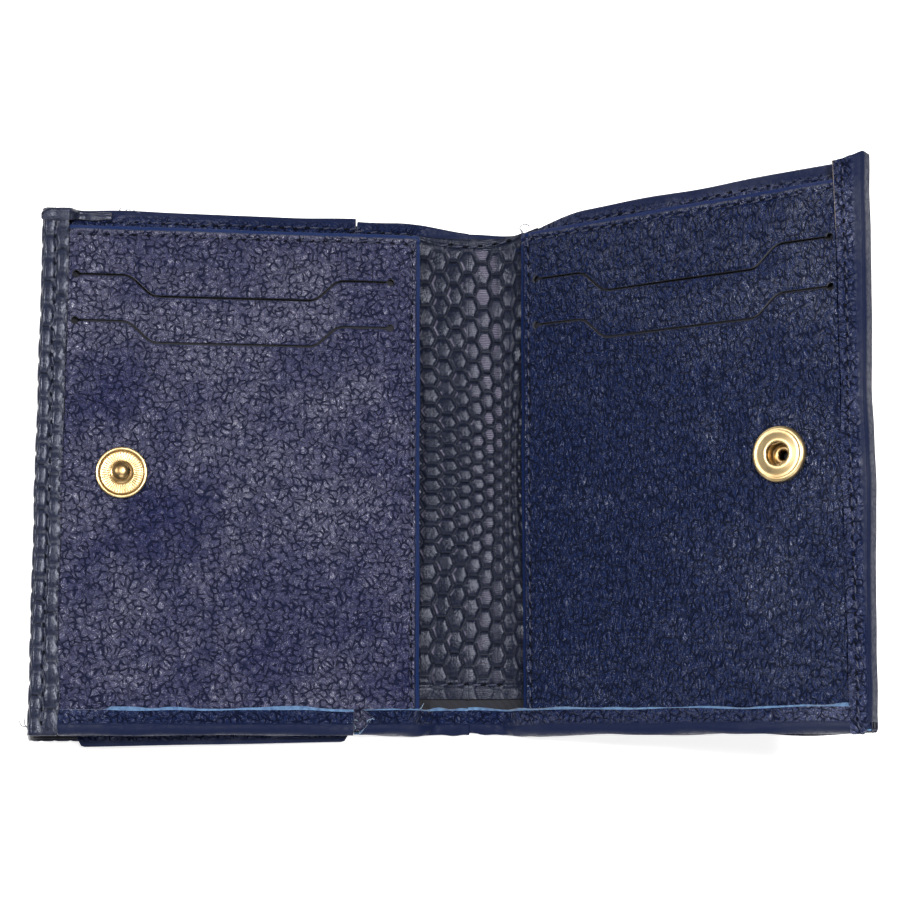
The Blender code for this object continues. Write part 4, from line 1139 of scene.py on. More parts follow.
def build_card_panels():
    sizes = bpy.context.scene.wallet_slots
    heights = (sizes.upper / MM, sizes.lower / MM)
    low_band = min(heights) - sizes.dip / MM - 1.5
    for side, lip, hole in ((LEFT, EDGE_LIP + 0.6, 1.65), (RIGHT, SIDE_HEM, 3.1)):
        start = CARD_START[side] + 0.25
        s = np.concatenate([spaced(start, start + 4.0, 0.25), spaced(start + 4.5, lip - 0.9, 0.55),
                            lip + np.array([-0.55, -0.3, -0.05, 1.0, 2.5]), [STACK_EDGE]])[:, None]
        y = np.concatenate([[-58.0, -56.5, -54.6], HEM_RAW + np.array([-0.3, 0.0, 0.3]),
                            spaced(HEM_RAW + 0.9, low_band, 0.65),
                            spaced(low_band + 0.35, heights[0] + 1.5, 0.35),
                            spaced(heights[0] + 2.1, CARD_TOP - 4.2, 0.6),
                            spaced(CARD_TOP - 3.9, CARD_TOP - 0.25, 0.25)])[None, :]
        ss, yy = s + 0 * y, y + 0 * s
        pared = np.maximum(smooth_step(ss, lip - 0.35, lip - 0.05),
                           smooth_step(-yy, -HEM_RAW - 0.25, -HEM_RAW + 0.05))
        from_start, from_top = ss - CARD_START[side], CARD_TOP - yy
        ridge = np.maximum(bell(from_start - BEAD, 0.3), bell(from_top - BEAD, 0.3))
        bead = 0.12 * ridge - 0.3 * (bell(from_start, 0.55) + bell(from_top, 0.55))
        groove = np.maximum(bell(from_start - SEAM, 0.34), bell(from_top - SEAM, 0.34))
        pucker = 0.07 * groove * (np.cos(2 * pi * yy / STITCH_SPACING) + np.cos(2 * pi * ss / STITCH_SPACING))
        cut = np.minimum.reduce([line_distance(ss, yy, slot_line(side, h)) for h in heights])
        snap = np.hypot(ss - SNAP[side][0], yy - SNAP[side][1])
        relief = bead - 0.26 * groove + pucker - 0.16 * bell(cut, 0.55) + 0.1 * bell(cut - 1.1, 0.6)
        relief = relief + 0.16 * waves(ss, yy, 81 + side, 38.0) + 0.05 * waves(ss, yy, 85 + side, 11.0)
        relief = relief + 0.22 * bell(snap - 8.5, 2.6) - 0.25 * bell(snap, 5.2)
        relief = relief * (1 - pared) - 0.5 * pared
        rise = 0.0 if side == LEFT else CARD_RISE
        climb = rise * np.clip((ss - 6.0) / 75.0, 0, 1) * smooth_step(yy, 45.0, CARD_TOP)
        grid = on_panel(side, ss, yy + climb, CARD_FACE + 0 * ss)
        back = on_panel(side, ss, yy + climb, CARD[side][0][2] + 0 * ss)
        band = np.maximum(1 - smooth_step(from_start, 0.85, 1.1), 1 - smooth_step(from_top, 0.85, 1.1))
        band = np.maximum(band, 0.85 * bell(cut, 0.4))
        # painted sheen in the wear field: on the left a grey wash of reflected light, with bluer patches
        # where it is weaker and a brighter pool near the middle; on the right brighter towards the outer
        # edge, where the panel would mirror the lights
        if side == LEFT:
            less_sheen_patches = (bell(np.hypot((ss - 58) / 1.1, yy + 17), 13.0)
                    + 0.8 * bell(np.hypot(ss - 9, yy + 45), 13.0)
                    + 0.5 * bell(np.hypot(ss - 42, (yy + 40) / 0.8), 14.0)
                    + 0.5 * bell(np.hypot(ss - 72, yy - 16), 9.0))
            wear_and_sheen = 0.66 - 0.6 * less_sheen_patches + 0.25 * bell(np.hypot(ss - 38, yy + 4), 14.0)
        else:
            wear_and_sheen = -0.1 + 0.5 * smooth_step(ss, 30.0, 80.0)
        # painted glints along the ridge beside each turned edge
        wear_and_sheen = wear_and_sheen + 0.9 * ridge
        item = sheet("card_panel_" + SIDE_NAME[side], grid, 0.8,
                     SIDE_NAME[side], inside="raw_dark", edges={"last": "raw_dark"},
                     fields={"band": band, "wear_and_sheen": wear_and_sheen}, relief=relief, uv=(ss, yy), inner=back, flip=side)
        outlines = [slot_outline(side, h) for h in heights] + [ring(SNAP[side], hole)]
        cut_through(item, side, outlines, 2.4, 5.2)
        own_body(item, side)
        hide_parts(SIDE_NAME[side] + "_card_panel")


# ------------------------------------------------------------------ coin pocket
FRONT_FACE, FRONT_BACK = 4.7, 4.0


def build_coin_pocket():
    """The pocket's front under the left panel, with turned edges, and its two pleated gussets."""
    first, last, length = 0.4, 59.7, 60.0
    a = spaced(first, last, 0.8)[:, None]
    share = a / length
    rows = np.concatenate([np.linspace(0, 0.04, 9), np.linspace(0.05, 0.95, 110),
                           np.linspace(0.96, 1.0, 9)])[None, :]
    corner = corner_inset(np.minimum(a - first, last - a), 1.6)
    low, high = -60.15 - 1.2 * share + corner, 55.8 - corner
    y = low + (high - low) * rows
    aa = a + 0 * y
    grid = on_pocket(aa, y, FRONT_BACK + 0 * y)
    rim = np.minimum(np.minimum(aa, length - aa), np.minimum(y - low, high - y))
    relief = 0.08 * waves(aa, y, 91, 24.0) - 0.12 * bell(rim - 2.4, 0.45)
    front = sheet("pocket_front_leather", grid, FRONT_FACE - FRONT_BACK, "shell", inside="shell", flip=1,
                  fields={"band": 1 - smooth_step(rim, 0.6, 1.6), "wear_and_sheen": 0.2}, relief=relief, bulge=0.9)
    own_body(front, LEFT)
    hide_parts("coin_pocket_front")
    for end, place, way in (("bottom", SHELL_BOTTOM + 0.7, 1), ("top", 55.0, -1)):
        s = spaced(26.0, 74.6, 0.8)[:, None]
        ceiling = on_panel(LEFT, s, 0.0, SHELL_BACK - 0.12)
        out, up = -ceiling[..., 0] - COIN_X, ceiling[..., 2] - COIN_Z
        a = out * cos(COIN_TILT) + up * sin(COIN_TILT)
        top = -out * sin(COIN_TILT) + up * cos(COIN_TILT)
        bottom = FRONT_FACE + 0.12
        rows = np.linspace(0, 1, 17)[None, :]
        tall = np.maximum(top - bottom, 0.2)
        fold = np.minimum(tall * 0.42, 2.2) * (1 - np.abs(2 * rows - 1)) * (0.85 + 0.15 * np.sin(a / 6.0))
        grid = on_pocket(a + 0 * rows, place + way * fold, bottom + tall * rows)
        gusset = sheet("pleated_gusset_" + end, grid, 0.45, "lining", inside="lining", flip=way, bulge=0.5)
        own_body(gusset, LEFT)
        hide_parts("coin_gusset_" + end)


# ------------------------------------------------------------------ press studs
def smooth_profile(points, steps=4):
    """A Catmull-Rom curve through a turned part's profile points."""
    p = np.array(points, float)
    p = np.concatenate([[2 * p[0] - p[1]], p, [2 * p[-1] - p[-2]]])
    out = []
    for k in range(1, len(p) - 2):
        for t in np.arange(steps) / steps:
            out.append(0.5 * (2 * p[k] + (p[k + 1] - p[k - 1]) * t
                              + (2 * p[k - 1] - 5 * p[k] + 4 * p[k + 1] - p[k + 2]) * t ** 2
                              + (3 * p[k] - p[k - 1] - 3 * p[k + 1] + p[k + 2]) * t ** 3))
    out = np.array(out + [p[-2]])
    out[:, 0] = np.maximum(out[:, 0], 0.0)
    return out


def turned(name, profile, place, finish, scale=1.0, way=1, smooth=True):
    """A round part spun from (radius, height) points; place(across, up, height) gives its world points.

    A profile whose ends lie on the axis is a solid of revolution; any other is closed into a ring.
    """
    points = smooth_profile(profile) if smooth else np.array(profile, float)
    segments = bpy.context.scene.wallet_snaps.segments
    turns = np.linspace(0, 2 * pi, segments, endpoint=False)
    solid = points[0, 0] < 1e-6
    body = points[1:-1] if solid else points
    r, h = body[:, :1] * scale, body[:, 1:] * scale * way
    rings = place(r * np.cos(turns), r * np.sin(turns), h + 0 * turns).reshape(-1, 3)
    faces = []
    count = len(body)
    for k in range(count if not solid else count - 1):
        n = (k + 1) % count
        for j in range(segments):
            i = (j + 1) % segments
            faces.append((k * segments + j, k * segments + i, n * segments + i, n * segments + j))
    if solid:
        poles = [place(0.0, 0.0, points[e, 1] * scale * way).reshape(3) for e in (0, -1)]
        rings = np.concatenate([rings, poles])
        for pole, row in ((count * segments, 0), (count * segments + 1, count - 1)):
            for j in range(segments):
                faces.append((pole, row * segments + j, row * segments + (j + 1) % segments))
    item = link_mesh(name, rings, faces, [finish], sharp=60)
    return item


def tube(name, path, radius, finish, sides=10, taper=None):
    """A round wire or thread along a world path in millimetres."""
    path = np.asarray(path, float)
    ahead = np.gradient(path, axis=0)
    ahead /= np.linalg.norm(ahead, axis=1, keepdims=True)
    guide = np.array([0.0, 0.0, 1.0]) if abs(ahead[0, 2]) < 0.9 else np.array([1.0, 0.0, 0.0])
    points, faces = [], []
    turns = np.linspace(0, 2 * pi, sides, endpoint=False)
    for k, (centre, way) in enumerate(zip(path, ahead)):
        left = np.cross(way, guide)
        left /= np.linalg.norm(left)
        guide = np.cross(left, way)
        r = radius * (1 if taper is None else taper[k])
        points.append(centre + r * (np.cos(turns)[:, None] * left + np.sin(turns)[:, None] * guide))
    for k in range(len(path) - 1):
        for j in range(sides):
            i = (j + 1) % sides
            faces.append((k * sides + j, k * sides + i, (k + 1) * sides + i, (k + 1) * sides + j))
    faces += [tuple(range(sides))[::-1], tuple((len(path) - 1) * sides + j for j in range(sides))]
    item = link_mesh(name, np.concatenate(points), faces, [finish], sharp=50)
    return item


STUD_FLANGE = (
    (1.35, 0.25), (1.35, 0.75), (1.9, 0.8), (2.25, 0.78), (2.5, 0.5), (2.75, 0.34), (3.6, 0.34), (4.5, 0.36),
    (4.75, 0.5), (4.95, 0.8), (5.25, 0.95), (5.55, 0.86), (5.7, 0.58), (5.62, 0.28), (5.2, 0.1), (3.2, 0.06),
    (1.7, 0.08))
STUD_BALL = (
    (0.0, 4.05), (0.5, 4.04), (1.05, 3.92), (1.55, 3.62), (1.92, 3.2), (2.05, 2.75), (1.9, 2.3), (1.55, 1.95),
    (1.38, 1.55), (1.5, 1.15), (2.05, 0.98), (2.42, 0.84), (2.44, 0.72), (1.8, 0.62), (0.8, 0.6), (0.0, 0.6))
SOCKET_RING = (
    (2.5, 0.9), (3.7, 0.85), (3.75, 1.6), (2.55, 1.62), (2.45, 1.78), (2.62, 1.98), (3.1, 2.0), (3.7, 1.86),
    (4.3, 1.7), (4.75, 1.66), (5.1, 1.72), (5.5, 1.62), (5.82, 1.2), (5.86, 0.6), (5.6, 0.16), (4.4, 0.08),
    (2.9, 0.1), (2.88, -0.9), (2.8, -1.75), (1.8, -1.78), (1.8, -1.58), (2.42, -1.5), (2.5, -0.4))
SOCKET_EYE = (
    (1.02, -2.6), (1.02, -1.7), (1.0, -1.25), (1.2, -1.02), (1.6, -0.98), (2.0, -1.1), (2.1, -1.32),
    (1.95, -1.45), (1.45, -1.42), (1.42, -2.0), (1.42, -2.6))
CAP_DOME = (
    (0.0, 0.0), (1.3, 0.02), (2.6, 0.08), (3.6, 0.16), (4.2, 0.28), (4.48, 0.48), (4.3, 0.68), (3.4, 0.7),
    (2.0, 0.7), (1.05, 0.72), (1.0, 0.95), (1.35, 1.02), (1.3, 1.16), (0.75, 1.15), (0.65, 0.6), (0.0, 0.5))


def new_group(name, **inputs):
    """A Geometry Nodes tree with named inputs; gives it, its sockets' identifiers and its inputs' outputs."""
    tree = bpy.data.node_groups.new(name, "GeometryNodeTree")
    sockets = {}
    for key, kind in {"Geometry": "Geometry", **inputs}.items():
        label = key.replace("_", " ")
        made = tree.interface.new_socket(label, in_out="INPUT", socket_type="NodeSocket" + kind)
        sockets[label] = made.identifier
    tree.interface.new_socket("Geometry", in_out="OUTPUT", socket_type="NodeSocketGeometry")
    return tree, sockets, add(tree, "NodeGroupInput").outputs


def rib_tree():
    """Geometry Nodes: thin radial ribs round a circle."""
    tree, sockets, given = new_group("radial_ribs", Count="Int", Middle_radius="Float", Rib_length="Float",
                                     Rib_width="Float", Finish="Material")
    circle = add(tree, "GeometryNodeMeshCircle", {"Vertices": given["Count"],
                                                  "Radius": given["Middle radius"]})
    rib = add(tree, "GeometryNodeMeshUVSphere", {"Segments": 8, "Rings": 6, "Radius": 0.5})
    size = add(tree, "ShaderNodeCombineXYZ", {0: given["Rib length"], 1: given["Rib width"],
                                              2: given["Rib width"]})
    shaped = add(tree, "GeometryNodeTransform", {"Geometry": rib.outputs["Mesh"], "Scale": size.outputs[0]})
    place = add(tree, "GeometryNodeInputPosition")
    turn = add(tree, "FunctionNodeAlignRotationToVector", {"Vector": place.outputs[0]}, axis="X",
               pivot_axis="Z")
    ribs = add(tree, "GeometryNodeInstanceOnPoints", {
        "Points": circle.outputs["Mesh"], "Instance": shaped.outputs[0], "Rotation": turn.outputs[0]})
    real = add(tree, "GeometryNodeRealizeInstances", {"Geometry": ribs.outputs[0]})
    done = add(tree, "GeometryNodeSetMaterial", {"Geometry": real.outputs[0], "Material": given["Finish"]})
    add(tree, "NodeGroupOutput", {"Geometry": done.outputs[0]})
    return tree, sockets


def run_tree(name, mesh, tree, values):
    """Run a Geometry Nodes tree on a mesh and return the plain mesh object that it makes."""
    base = place_object(name, mesh)
    modifier = base.modifiers.new("build", "NODES")
    modifier.node_group = tree
    for identifier, value in values.items():
        modifier[identifier] = value
    bpy.context.view_layer.update()
    made = bpy.data.meshes.new_from_object(base.evaluated_get(bpy.context.evaluated_depsgraph_get()))
    bpy.data.objects.remove(base)
    bpy.data.meshes.remove(mesh)
    made.name = name
    made.shade_smooth()
    return place_object(name, made)


def finish_node(node, finish):
    """Give one of the frame's own meshes a finish."""
    mesh = frame["nodes"][node].data
    mesh.materials.clear()
    mesh.materials.append(FINISH[finish])


def build_snaps():
    def seat(side):
        s, y = SNAP[side]
        return lambda across, up, height: on_panel(side, s + across, y + up, CARD_FACE + height)

    def round_part(name, profile, side, finish, node):
        item = turned(name, profile, seat(side), finish)
        own_body(item, side)
        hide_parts(node)

    round_part("snap_stud_flange", STUD_FLANGE, LEFT, "brass", "snap_stud")
    round_part("snap_stud_ball", STUD_BALL, LEFT, "bronze", "snap_stud")
    tree, sockets = rib_tree()
    count = bpy.context.scene.wallet_snaps.ribs
    ribs = run_tree("snap_stud_ribs", bpy.data.meshes.new("ribs"), tree,
                    {sockets["Count"]: count, sockets["Middle radius"]: 3.65 * MM,
                     sockets["Rib length"]: 2.1 * MM, sockets["Rib width"]: 0.34 * MM,
                     sockets["Finish"]: FINISH["brass"]})
    s, y = SNAP[LEFT]
    turn = Matrix.Rotation(TILT[LEFT], 4, "Y")
    place = Matrix.Translation(Vector(on_panel(LEFT, s, y, CARD_FACE + 0.42)) * MM) @ turn
    ribs.data.transform(place)
    own_body(ribs, LEFT)
    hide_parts("snap_stud")

    round_part("snap_socket_ring", SOCKET_RING, RIGHT, "brass", "snap_socket")
    round_part("snap_socket_eyelet", SOCKET_EYE, RIGHT, "bronze", "socket_post")

    # the socket's spring: a wire with two straight arms beside the hole, joined by an arc
    lean, chord, arc = radians(12), 2.2, 3.4
    reach = acos(chord / arc)
    half = arc * sin(reach)
    bend = np.linspace(pi / 2 - reach, reach - pi / 2, 25)
    local = np.concatenate([[(-half, chord), (-half / 2, chord), (0, chord), (half / 2, chord)],
                            np.stack([arc * np.cos(bend), arc * np.sin(bend)], axis=1),
                            [(half / 2, -chord), (0, -chord), (-half / 2, -chord), (-half, -chord)]])
    turned_line = local @ np.array([[cos(lean), sin(lean)], [-sin(lean), cos(lean)]])
    path = seat(RIGHT)(turned_line[:, 0], turned_line[:, 1], 1.25 + 0 * turned_line[:, 0])
    spring = tube("snap_socket_spring", path, 0.24, "bronze")
    own_body(spring, RIGHT)
    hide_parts("socket_spring")

    def flap_seat(across, up, height):
        return on_pocket(COIN_SNAP_A + across, SNAP[LEFT][1] + up, height)

    cap = turned("flap_snap_dome", CAP_DOME, flap_seat, "brass")
    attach(cap, "coin_flap")
    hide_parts("coin_snap_cap")
    for node in ("stud_post", "coin_snap_stud", "coin_stud_post", "coin_snap_socket", "coin_socket_spring"):
        finish_node(node, "bronze")


def build_linings():
    """The CAD's own inner walls and card pockets, in lining twill."""
    for side in ("left", "right"):
        for part in ("inner_wall", "upper_pocket", "lower_pocket"):
            finish_node(f"{side}_{part}", "lining")


# ------------------------------------------------------------------ stitching
def stitch_tree():
    """Geometry Nodes: stitches along seam lines, each a sunk thread with a near-black dent of painted shade
    for the needle hole beyond its end.
    """
    tree, sockets, given = new_group("stitches", Pitch="Float", Length="Float", Width="Float", Slant="Float",
                                     Seed="Int", Finish="Material", Hole_finish="Material")
    line = add(tree, "GeometryNodeMeshToCurve", {"Mesh": given["Geometry"]})
    stops = add(tree, "GeometryNodeCurveToPoints", {"Curve": line.outputs[0], "Length": given["Pitch"]},
                mode="LENGTH")
    thread = add(tree, "GeometryNodeMeshUVSphere", {"Segments": 8, "Rings": 8, "Radius": 0.5})
    slim = add(tree, "ShaderNodeCombineXYZ", {0: given["Length"], 1: given["Width"], 2: given["Width"]})
    strand = add(tree, "GeometryNodeTransform", {"Geometry": thread.outputs["Mesh"],
                                                 "Scale": slim.outputs[0]})
    # each needle hole is a flattened near-black sphere: painted shade in the hole
    hole = add(tree, "GeometryNodeMeshUVSphere", {"Segments": 8, "Rings": 4, "Radius": 0.5})
    wide = add(tree, "ShaderNodeMath", {0: given["Width"], 1: 1.35}, out=0, operation="MULTIPLY")
    deep = add(tree, "ShaderNodeMath", {0: given["Pitch"], 1: 0.42}, out=0, operation="MULTIPLY")
    beyond = add(tree, "ShaderNodeMath", {0: given["Pitch"], 1: 0.5}, out=0, operation="MULTIPLY")
    dent = add(tree, "GeometryNodeTransform", {
        "Geometry": hole.outputs["Mesh"],
        "Translation": add(tree, "ShaderNodeCombineXYZ", {0: beyond}, out=0),
        "Scale": add(tree, "ShaderNodeCombineXYZ", {0: deep, 1: wide, 2: given["Width"]}, out=0)})
    sewn = add(tree, "GeometryNodeSetMaterial", {"Geometry": strand.outputs[0], "Material": given["Finish"]})
    shaded_dent = add(tree, "GeometryNodeSetMaterial", {"Geometry": dent.outputs[0],
                                                  "Material": given["Hole finish"]})
    both = add(tree, "GeometryNodeJoinGeometry")
    for part in (sewn, shaded_dent):
        tree.links.new(part.outputs[0], both.inputs[0])
    up = add(tree, "GeometryNodeInputNamedAttribute", {"Name": "up"}, data_type="FLOAT_VECTOR").outputs[0]
    ahead = add(tree, "FunctionNodeAlignRotationToVector", {"Vector": stops.outputs["Tangent"]}, axis="X")
    level = add(tree, "FunctionNodeAlignRotationToVector", {"Rotation": ahead.outputs[0], "Vector": up},
                axis="Z", pivot_axis="X")
    placed = add(tree, "GeometryNodeInstanceOnPoints", {
        "Points": stops.outputs["Points"], "Instance": both.outputs[0], "Rotation": level.outputs[0]})
    wander = add(tree, "FunctionNodeRandomValue", {2: 0.2, 3: 1.8, "Seed": given["Seed"]}, data_type="FLOAT")
    slant = add(tree, "ShaderNodeMath", {0: given["Slant"], 1: wander.outputs[1]}, operation="MULTIPLY")
    turn = add(tree, "ShaderNodeCombineXYZ", {2: slant.outputs[0]})
    turned_out = add(tree, "GeometryNodeRotateInstances", {"Instances": placed.outputs[0],
                                                           "Rotation": turn.outputs[0]})
    stretch = add(tree, "FunctionNodeRandomValue", {0: (0.86, 0.85, 0.8), 1: (1.08, 1.15, 1.2),
                                                    "Seed": given["Seed"]}, data_type="FLOAT_VECTOR")
    varied = add(tree, "GeometryNodeScaleInstances", {"Instances": turned_out.outputs[0],
                                                      "Scale": stretch.outputs[0]})
    real = add(tree, "GeometryNodeRealizeInstances", {"Geometry": varied.outputs[0]})
    add(tree, "NodeGroupOutput", {"Geometry": real.outputs[0]})
    return tree, sockets


def seam_mesh(lines):
    """A mesh of seam lines, each (points, up directions) in world millimetres."""
    points, ups, edges = [], [], []
    for line, up in lines:
        first = len(points)
        points += list(line)
        ups += list(np.broadcast_to(up, line.shape))
        edges += [(first + k, first + k + 1) for k in range(len(line) - 1)]
    mesh = bpy.data.meshes.new("seams")
    mesh.from_pydata((np.array(points) * MM).tolist(), edges, [])
    up_values = mesh.attributes.new("up", "FLOAT_VECTOR", "POINT").data
    up_values.foreach_set("vector", np.array(ups, np.float32).ravel())
    return mesh


def panel_up(side):
    return np.array([-side * sin(TILT[side]), 0.0, cos(TILT[side])])


def panel_line(side, s0, y0, s1, y1, h, bow=0.0):
    """A seam on a panel between two points, with a slight bow."""
    share = np.linspace(0, 1, 40)
    sway = bow * np.sin(3 * pi * share)
    upright = abs(y1 - y0) > abs(s1 - s0)
    s = s0 + (s1 - s0) * share + (sway if upright else 0)
    y = y0 + (y1 - y0) * share + (0 if upright else sway)
    return on_panel(side, s, y, h), panel_up(side)


def spine_line(y, sides, dip=0.0):
    """A seam across the spine strip at one height."""
    halves = []
    for side, reach in sides:
        d = np.linspace(0, reach, 24)
        halves.append(over_fold(side, d, y + dip * (1 - (d / 12.0) ** 2), STRIP_HIGH.z / MM - FOLD_Z + 0.26))
    line = np.concatenate([halves[0][::-1], halves[1][1:]])
    return line, np.array([0.0, 0.0, 1.0])


def build_stitches():
    thread = bpy.context.scene.wallet_thread
    tree, sockets = stitch_tree()
    card, turned_in = CARD_FACE - 0.15, TURN_FACE - 0.06       # heights of threads sunk in the leather
    lines = {"left_panel": [], "right_panel": [], "spine": [], "edge": []}
    for side, lip, rise in ((LEFT, EDGE_LIP, 0.0), (RIGHT, SIDE_HEM, 0.85 * CARD_RISE)):
        inner, top = CARD_START[side] + SEAM, CARD_TOP - SEAM
        lines[PANEL[side]] += [panel_line(side, inner, top, lip - 0.2, top + rise, card, 0.05),
                               panel_line(side, inner, CARD_TOP - 2.6, inner, HEM_RAW + 0.8, card, 0.06)]
    lines["left_panel"] += [
        panel_line(LEFT, POCKET_START + 0.6, SHELL_TOP - 2.1, 70.5, SHELL_TOP - 2.1, turned_in),
        panel_line(LEFT, 5.5, SHELL_TOP - 2.9, POCKET_START - 0.8, SHELL_TOP - 2.6, turned_in)]
    strip_s, hem_s = EDGE_LIP + EDGE_SEAM, SIDE_HEM + HEM_SEAM
    lines["edge"].append(panel_line(LEFT, strip_s, SHELL_BOTTOM + 1.2, strip_s, SHELL_TOP - 2.2,
                                    HEM_FACE - 0.14, 0.1))
    lines["right_panel"] += [
        panel_line(RIGHT, 22.0, SHELL_TOP - 2.6, SIDE_HEM + 0.5, SHELL_TOP - 2.6 + SHELL_RISE, turned_in),
        panel_line(RIGHT, hem_s, SHELL_BOTTOM + 1.6, hem_s, SHELL_TOP - 1.6, HEM_FACE - 0.16, 0.12)]
    lines["spine"] += [spine_line(STRIP_LOW.y / MM + 3.3, ((LEFT, 5.4), (RIGHT, 5.4))),
                       spine_line(STRIP_HIGH.y / MM + 0.1, ((LEFT, 5.4), (RIGHT, 8.5)), dip=-1.9)]
    for body, seams in lines.items():
        item = run_tree("stitches_" + body, seam_mesh(seams), tree,
                        {sockets["Pitch"]: thread.pitch, sockets["Length"]: thread.length,
                         sockets["Width"]: thread.width * (0.7 if body == "edge" else 1.0),
                         sockets["Slant"]: thread.slant, sockets["Seed"]: thread.seed,
                         sockets["Finish"]: FINISH["thread"], sockets["Hole finish"]: FINISH["hole"]})
        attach(item, "left_panel" if body == "edge" else body)


# ------------------------------------------------------------------ loose threads
def strand(side, start, way, length, curl, seed, rise=0.0, steps=14):
    """A loose thread from (s, y, h) on a panel that wanders off in one direction."""
    draw = np.random.default_rng(seed)
    share = np.linspace(0, 1, steps)
    turn = way + curl * share + 0.5 * np.sin(share * draw.uniform(3, 8) + draw.uniform(0, 6)) * share
    step = length / (steps - 1)
    s = start[0] + np.cumsum(np.cos(turn)) * step
    y = start[1] + np.cumsum(np.sin(turn)) * step
    return on_panel(side, s, y, start[2] + rise * share ** 1.5)


def build_loose_threads():
    """Cut thread ends and frayed fibres at the corners and at the hem's notch."""
    draw = np.random.default_rng(17)
    left, right = [], []
    for k in range(4):
        start = (69.5 - 1.2 * k, SHELL_TOP + 0.2, 1.0)
        left.append((strand(LEFT, start, radians(60 + 35 * k), 1.6, 2.5, 100 + k), 0.12, "thread"))
    for k in range(3):
        start = (PANEL_EDGE - 0.3, SHELL_BOTTOM + 2.0 - 0.5 * k, 3.6)
        left.append((strand(LEFT, start, radians(-20 + 50 * k), 2.6, 1.8, 110 + k), 0.11, "thread"))
    for k in range(16):
        s = NOTCH_S + draw.uniform(-3.2, 0.6)
        y = draw.uniform(-58.6, -54.0)
        fibre = strand(LEFT, (s, y, HEM_FACE - 0.7), draw.uniform(0.5, 2.6), draw.uniform(1.2, 2.8),
                       draw.uniform(-2, 2), 120 + k, rise=0.9)
        left.append((fibre, 0.09, "fray" if k % 4 == 0 else "thread"))
    for k in range(5):
        start = (0.6 - 0.35 * k, -51.9 - 1.4 * k, 2.2)
        left.append((strand(LEFT, start, radians(-70 + 16 * k), 3.4, 0.8, 150 + k, rise=0.5), 0.11,
                     "fray" if k != 3 else "thread"))
    share = np.linspace(0, 2 * pi * 0.92, 26)
    loop = on_panel(RIGHT, CARD_START[RIGHT] + 1.6 + 1.1 * np.cos(share),
                    CARD_TOP + 0.9 + 0.8 * np.sin(share), CARD_FACE + 0.3 + 0.4 * np.sin(share / 2))
    right.append((loop, 0.12, "thread"))
    for k in range(3):
        start = (CARD_START[RIGHT] + 0.4 + 0.5 * k, CARD_TOP - 0.3, CARD_FACE)
        right.append((strand(RIGHT, start, radians(70 + 40 * k), 1.8, 1.5, 160 + k, rise=0.5), 0.1, "thread"))
    for side, group in ((LEFT, left), (RIGHT, right)):
        for finish in ("thread", "fray"):
            parts = [tube(f"loose_{k}", path, radius, finish, sides=6, taper=np.linspace(1, 0.55, len(path)))
                     for k, (path, radius, kind) in enumerate(group) if kind == finish]
            if not parts:
                continue
            with bpy.context.temp_override(active_object=parts[0], selected_editable_objects=parts):
                bpy.ops.object.join()
            parts[0].name = f"loose_{finish}_{PANEL[side]}"
            parts[0].data.name = parts[0].name
            own_body(parts[0], side)


# ------------------------------------------------------------------ stage
def soft_light(name, place, target, size, power, colour):
    lamp = bpy.data.lights.new(name, "AREA")
    lamp.shape, lamp.size, lamp.energy, lamp.color = "DISK", size, power, colour
    item = place_object(name, lamp)
    item.location = place
    item.rotation_euler = (Vector(target) - Vector(place)).to_track_quat("-Z", "Y").to_euler()


def build_stage():
    """Pale floor, soft studio lights and the camera that looks down on the open wallet."""
    stage = bpy.context.scene.wallet_stage
    floor_mesh = bpy.data.meshes.new("floor")
    reach, level = 1.6, CAD_BOX[0][2] - 0.0002
    rim = ring((0.0, 0.0), reach, 24)
    faces = [(0, 1 + k, 1 + (k + 1) % len(rim)) for k in range(len(rim))]
    floor_mesh.from_pydata([(0.0, 0.0, level)] + [(x, y, level) for x, y in rim.tolist()], [], faces)
    paper, tree, shader = new_material("matt_paper_sweep", Roughness=0.9, Specular_IOR_Level=0.2)
    spot = add(tree, "ShaderNodeTexCoord", out="Object")
    tooth = add(tree, "ShaderNodeTexNoise", {"Vector": spot, "Scale": 60.0, "Detail": 2.0}, out=0)
    colour = add(tree, "ShaderNodeMix", {0: tooth, 6: linear("f4f4f3"), 7: linear("fafafa")}, out=2,
                 data_type="RGBA")
    feed(shader, Base_Color=colour)
    shader.inputs["Emission Color"].default_value = (1.0, 1.0, 1.0, 1.0)
    shader.inputs["Emission Strength"].default_value = stage.glow
    floor_mesh.materials.append(paper)
    place_object("floor", floor_mesh)

    world = bpy.data.worlds.new("studio")
    world.use_nodes = True
    world.node_tree.nodes["Background"].inputs[0].default_value = (1.0, 1.0, 1.0, 1.0)
    world.node_tree.nodes["Background"].inputs[1].default_value = stage.sky
    bpy.context.scene.world = world
    soft_light("overhead", (0.22, 0.14, 0.98), (0, 0, 0), 0.3, stage.overhead, (1.0, 0.975, 0.96))
    soft_light("left", (-0.62, 0.12, 0.8), (0, 0, 0), 0.12, stage.left, (1.0, 0.97, 0.95))
    soft_light("front", (0.1, -1.0, 0.95), (0, 0, 0), 0.9, stage.front, (1.0, 0.99, 0.98))

    bpy.context.scene.view_settings.view_transform = "Standard"
    lens = bpy.data.cameras.new("camera")
    lens.lens, lens.sensor_width = stage.lens, 36.0
    camera = place_object("camera", lens)
    camera.location = (-0.00405, -0.0626, 0.4563)
    camera.rotation_euler = (stage.pitch, 0.0, 0.0)
    bpy.context.scene.camera = camera


# ------------------------------------------------------------------ operators and panel
def ready():
    """Make the finishes before the first piece is built."""
    if not FINISH:
        FINISH.update(make_finishes())


class WALLET_OT_stage(bpy.types.Operator):
    """Add the floor, the lights and the camera"""
    bl_idname = "wallet.stage"
    bl_label = "Stage"

    def execute(self, context):
        ready()
        build_stage()
        return {"FINISHED"}


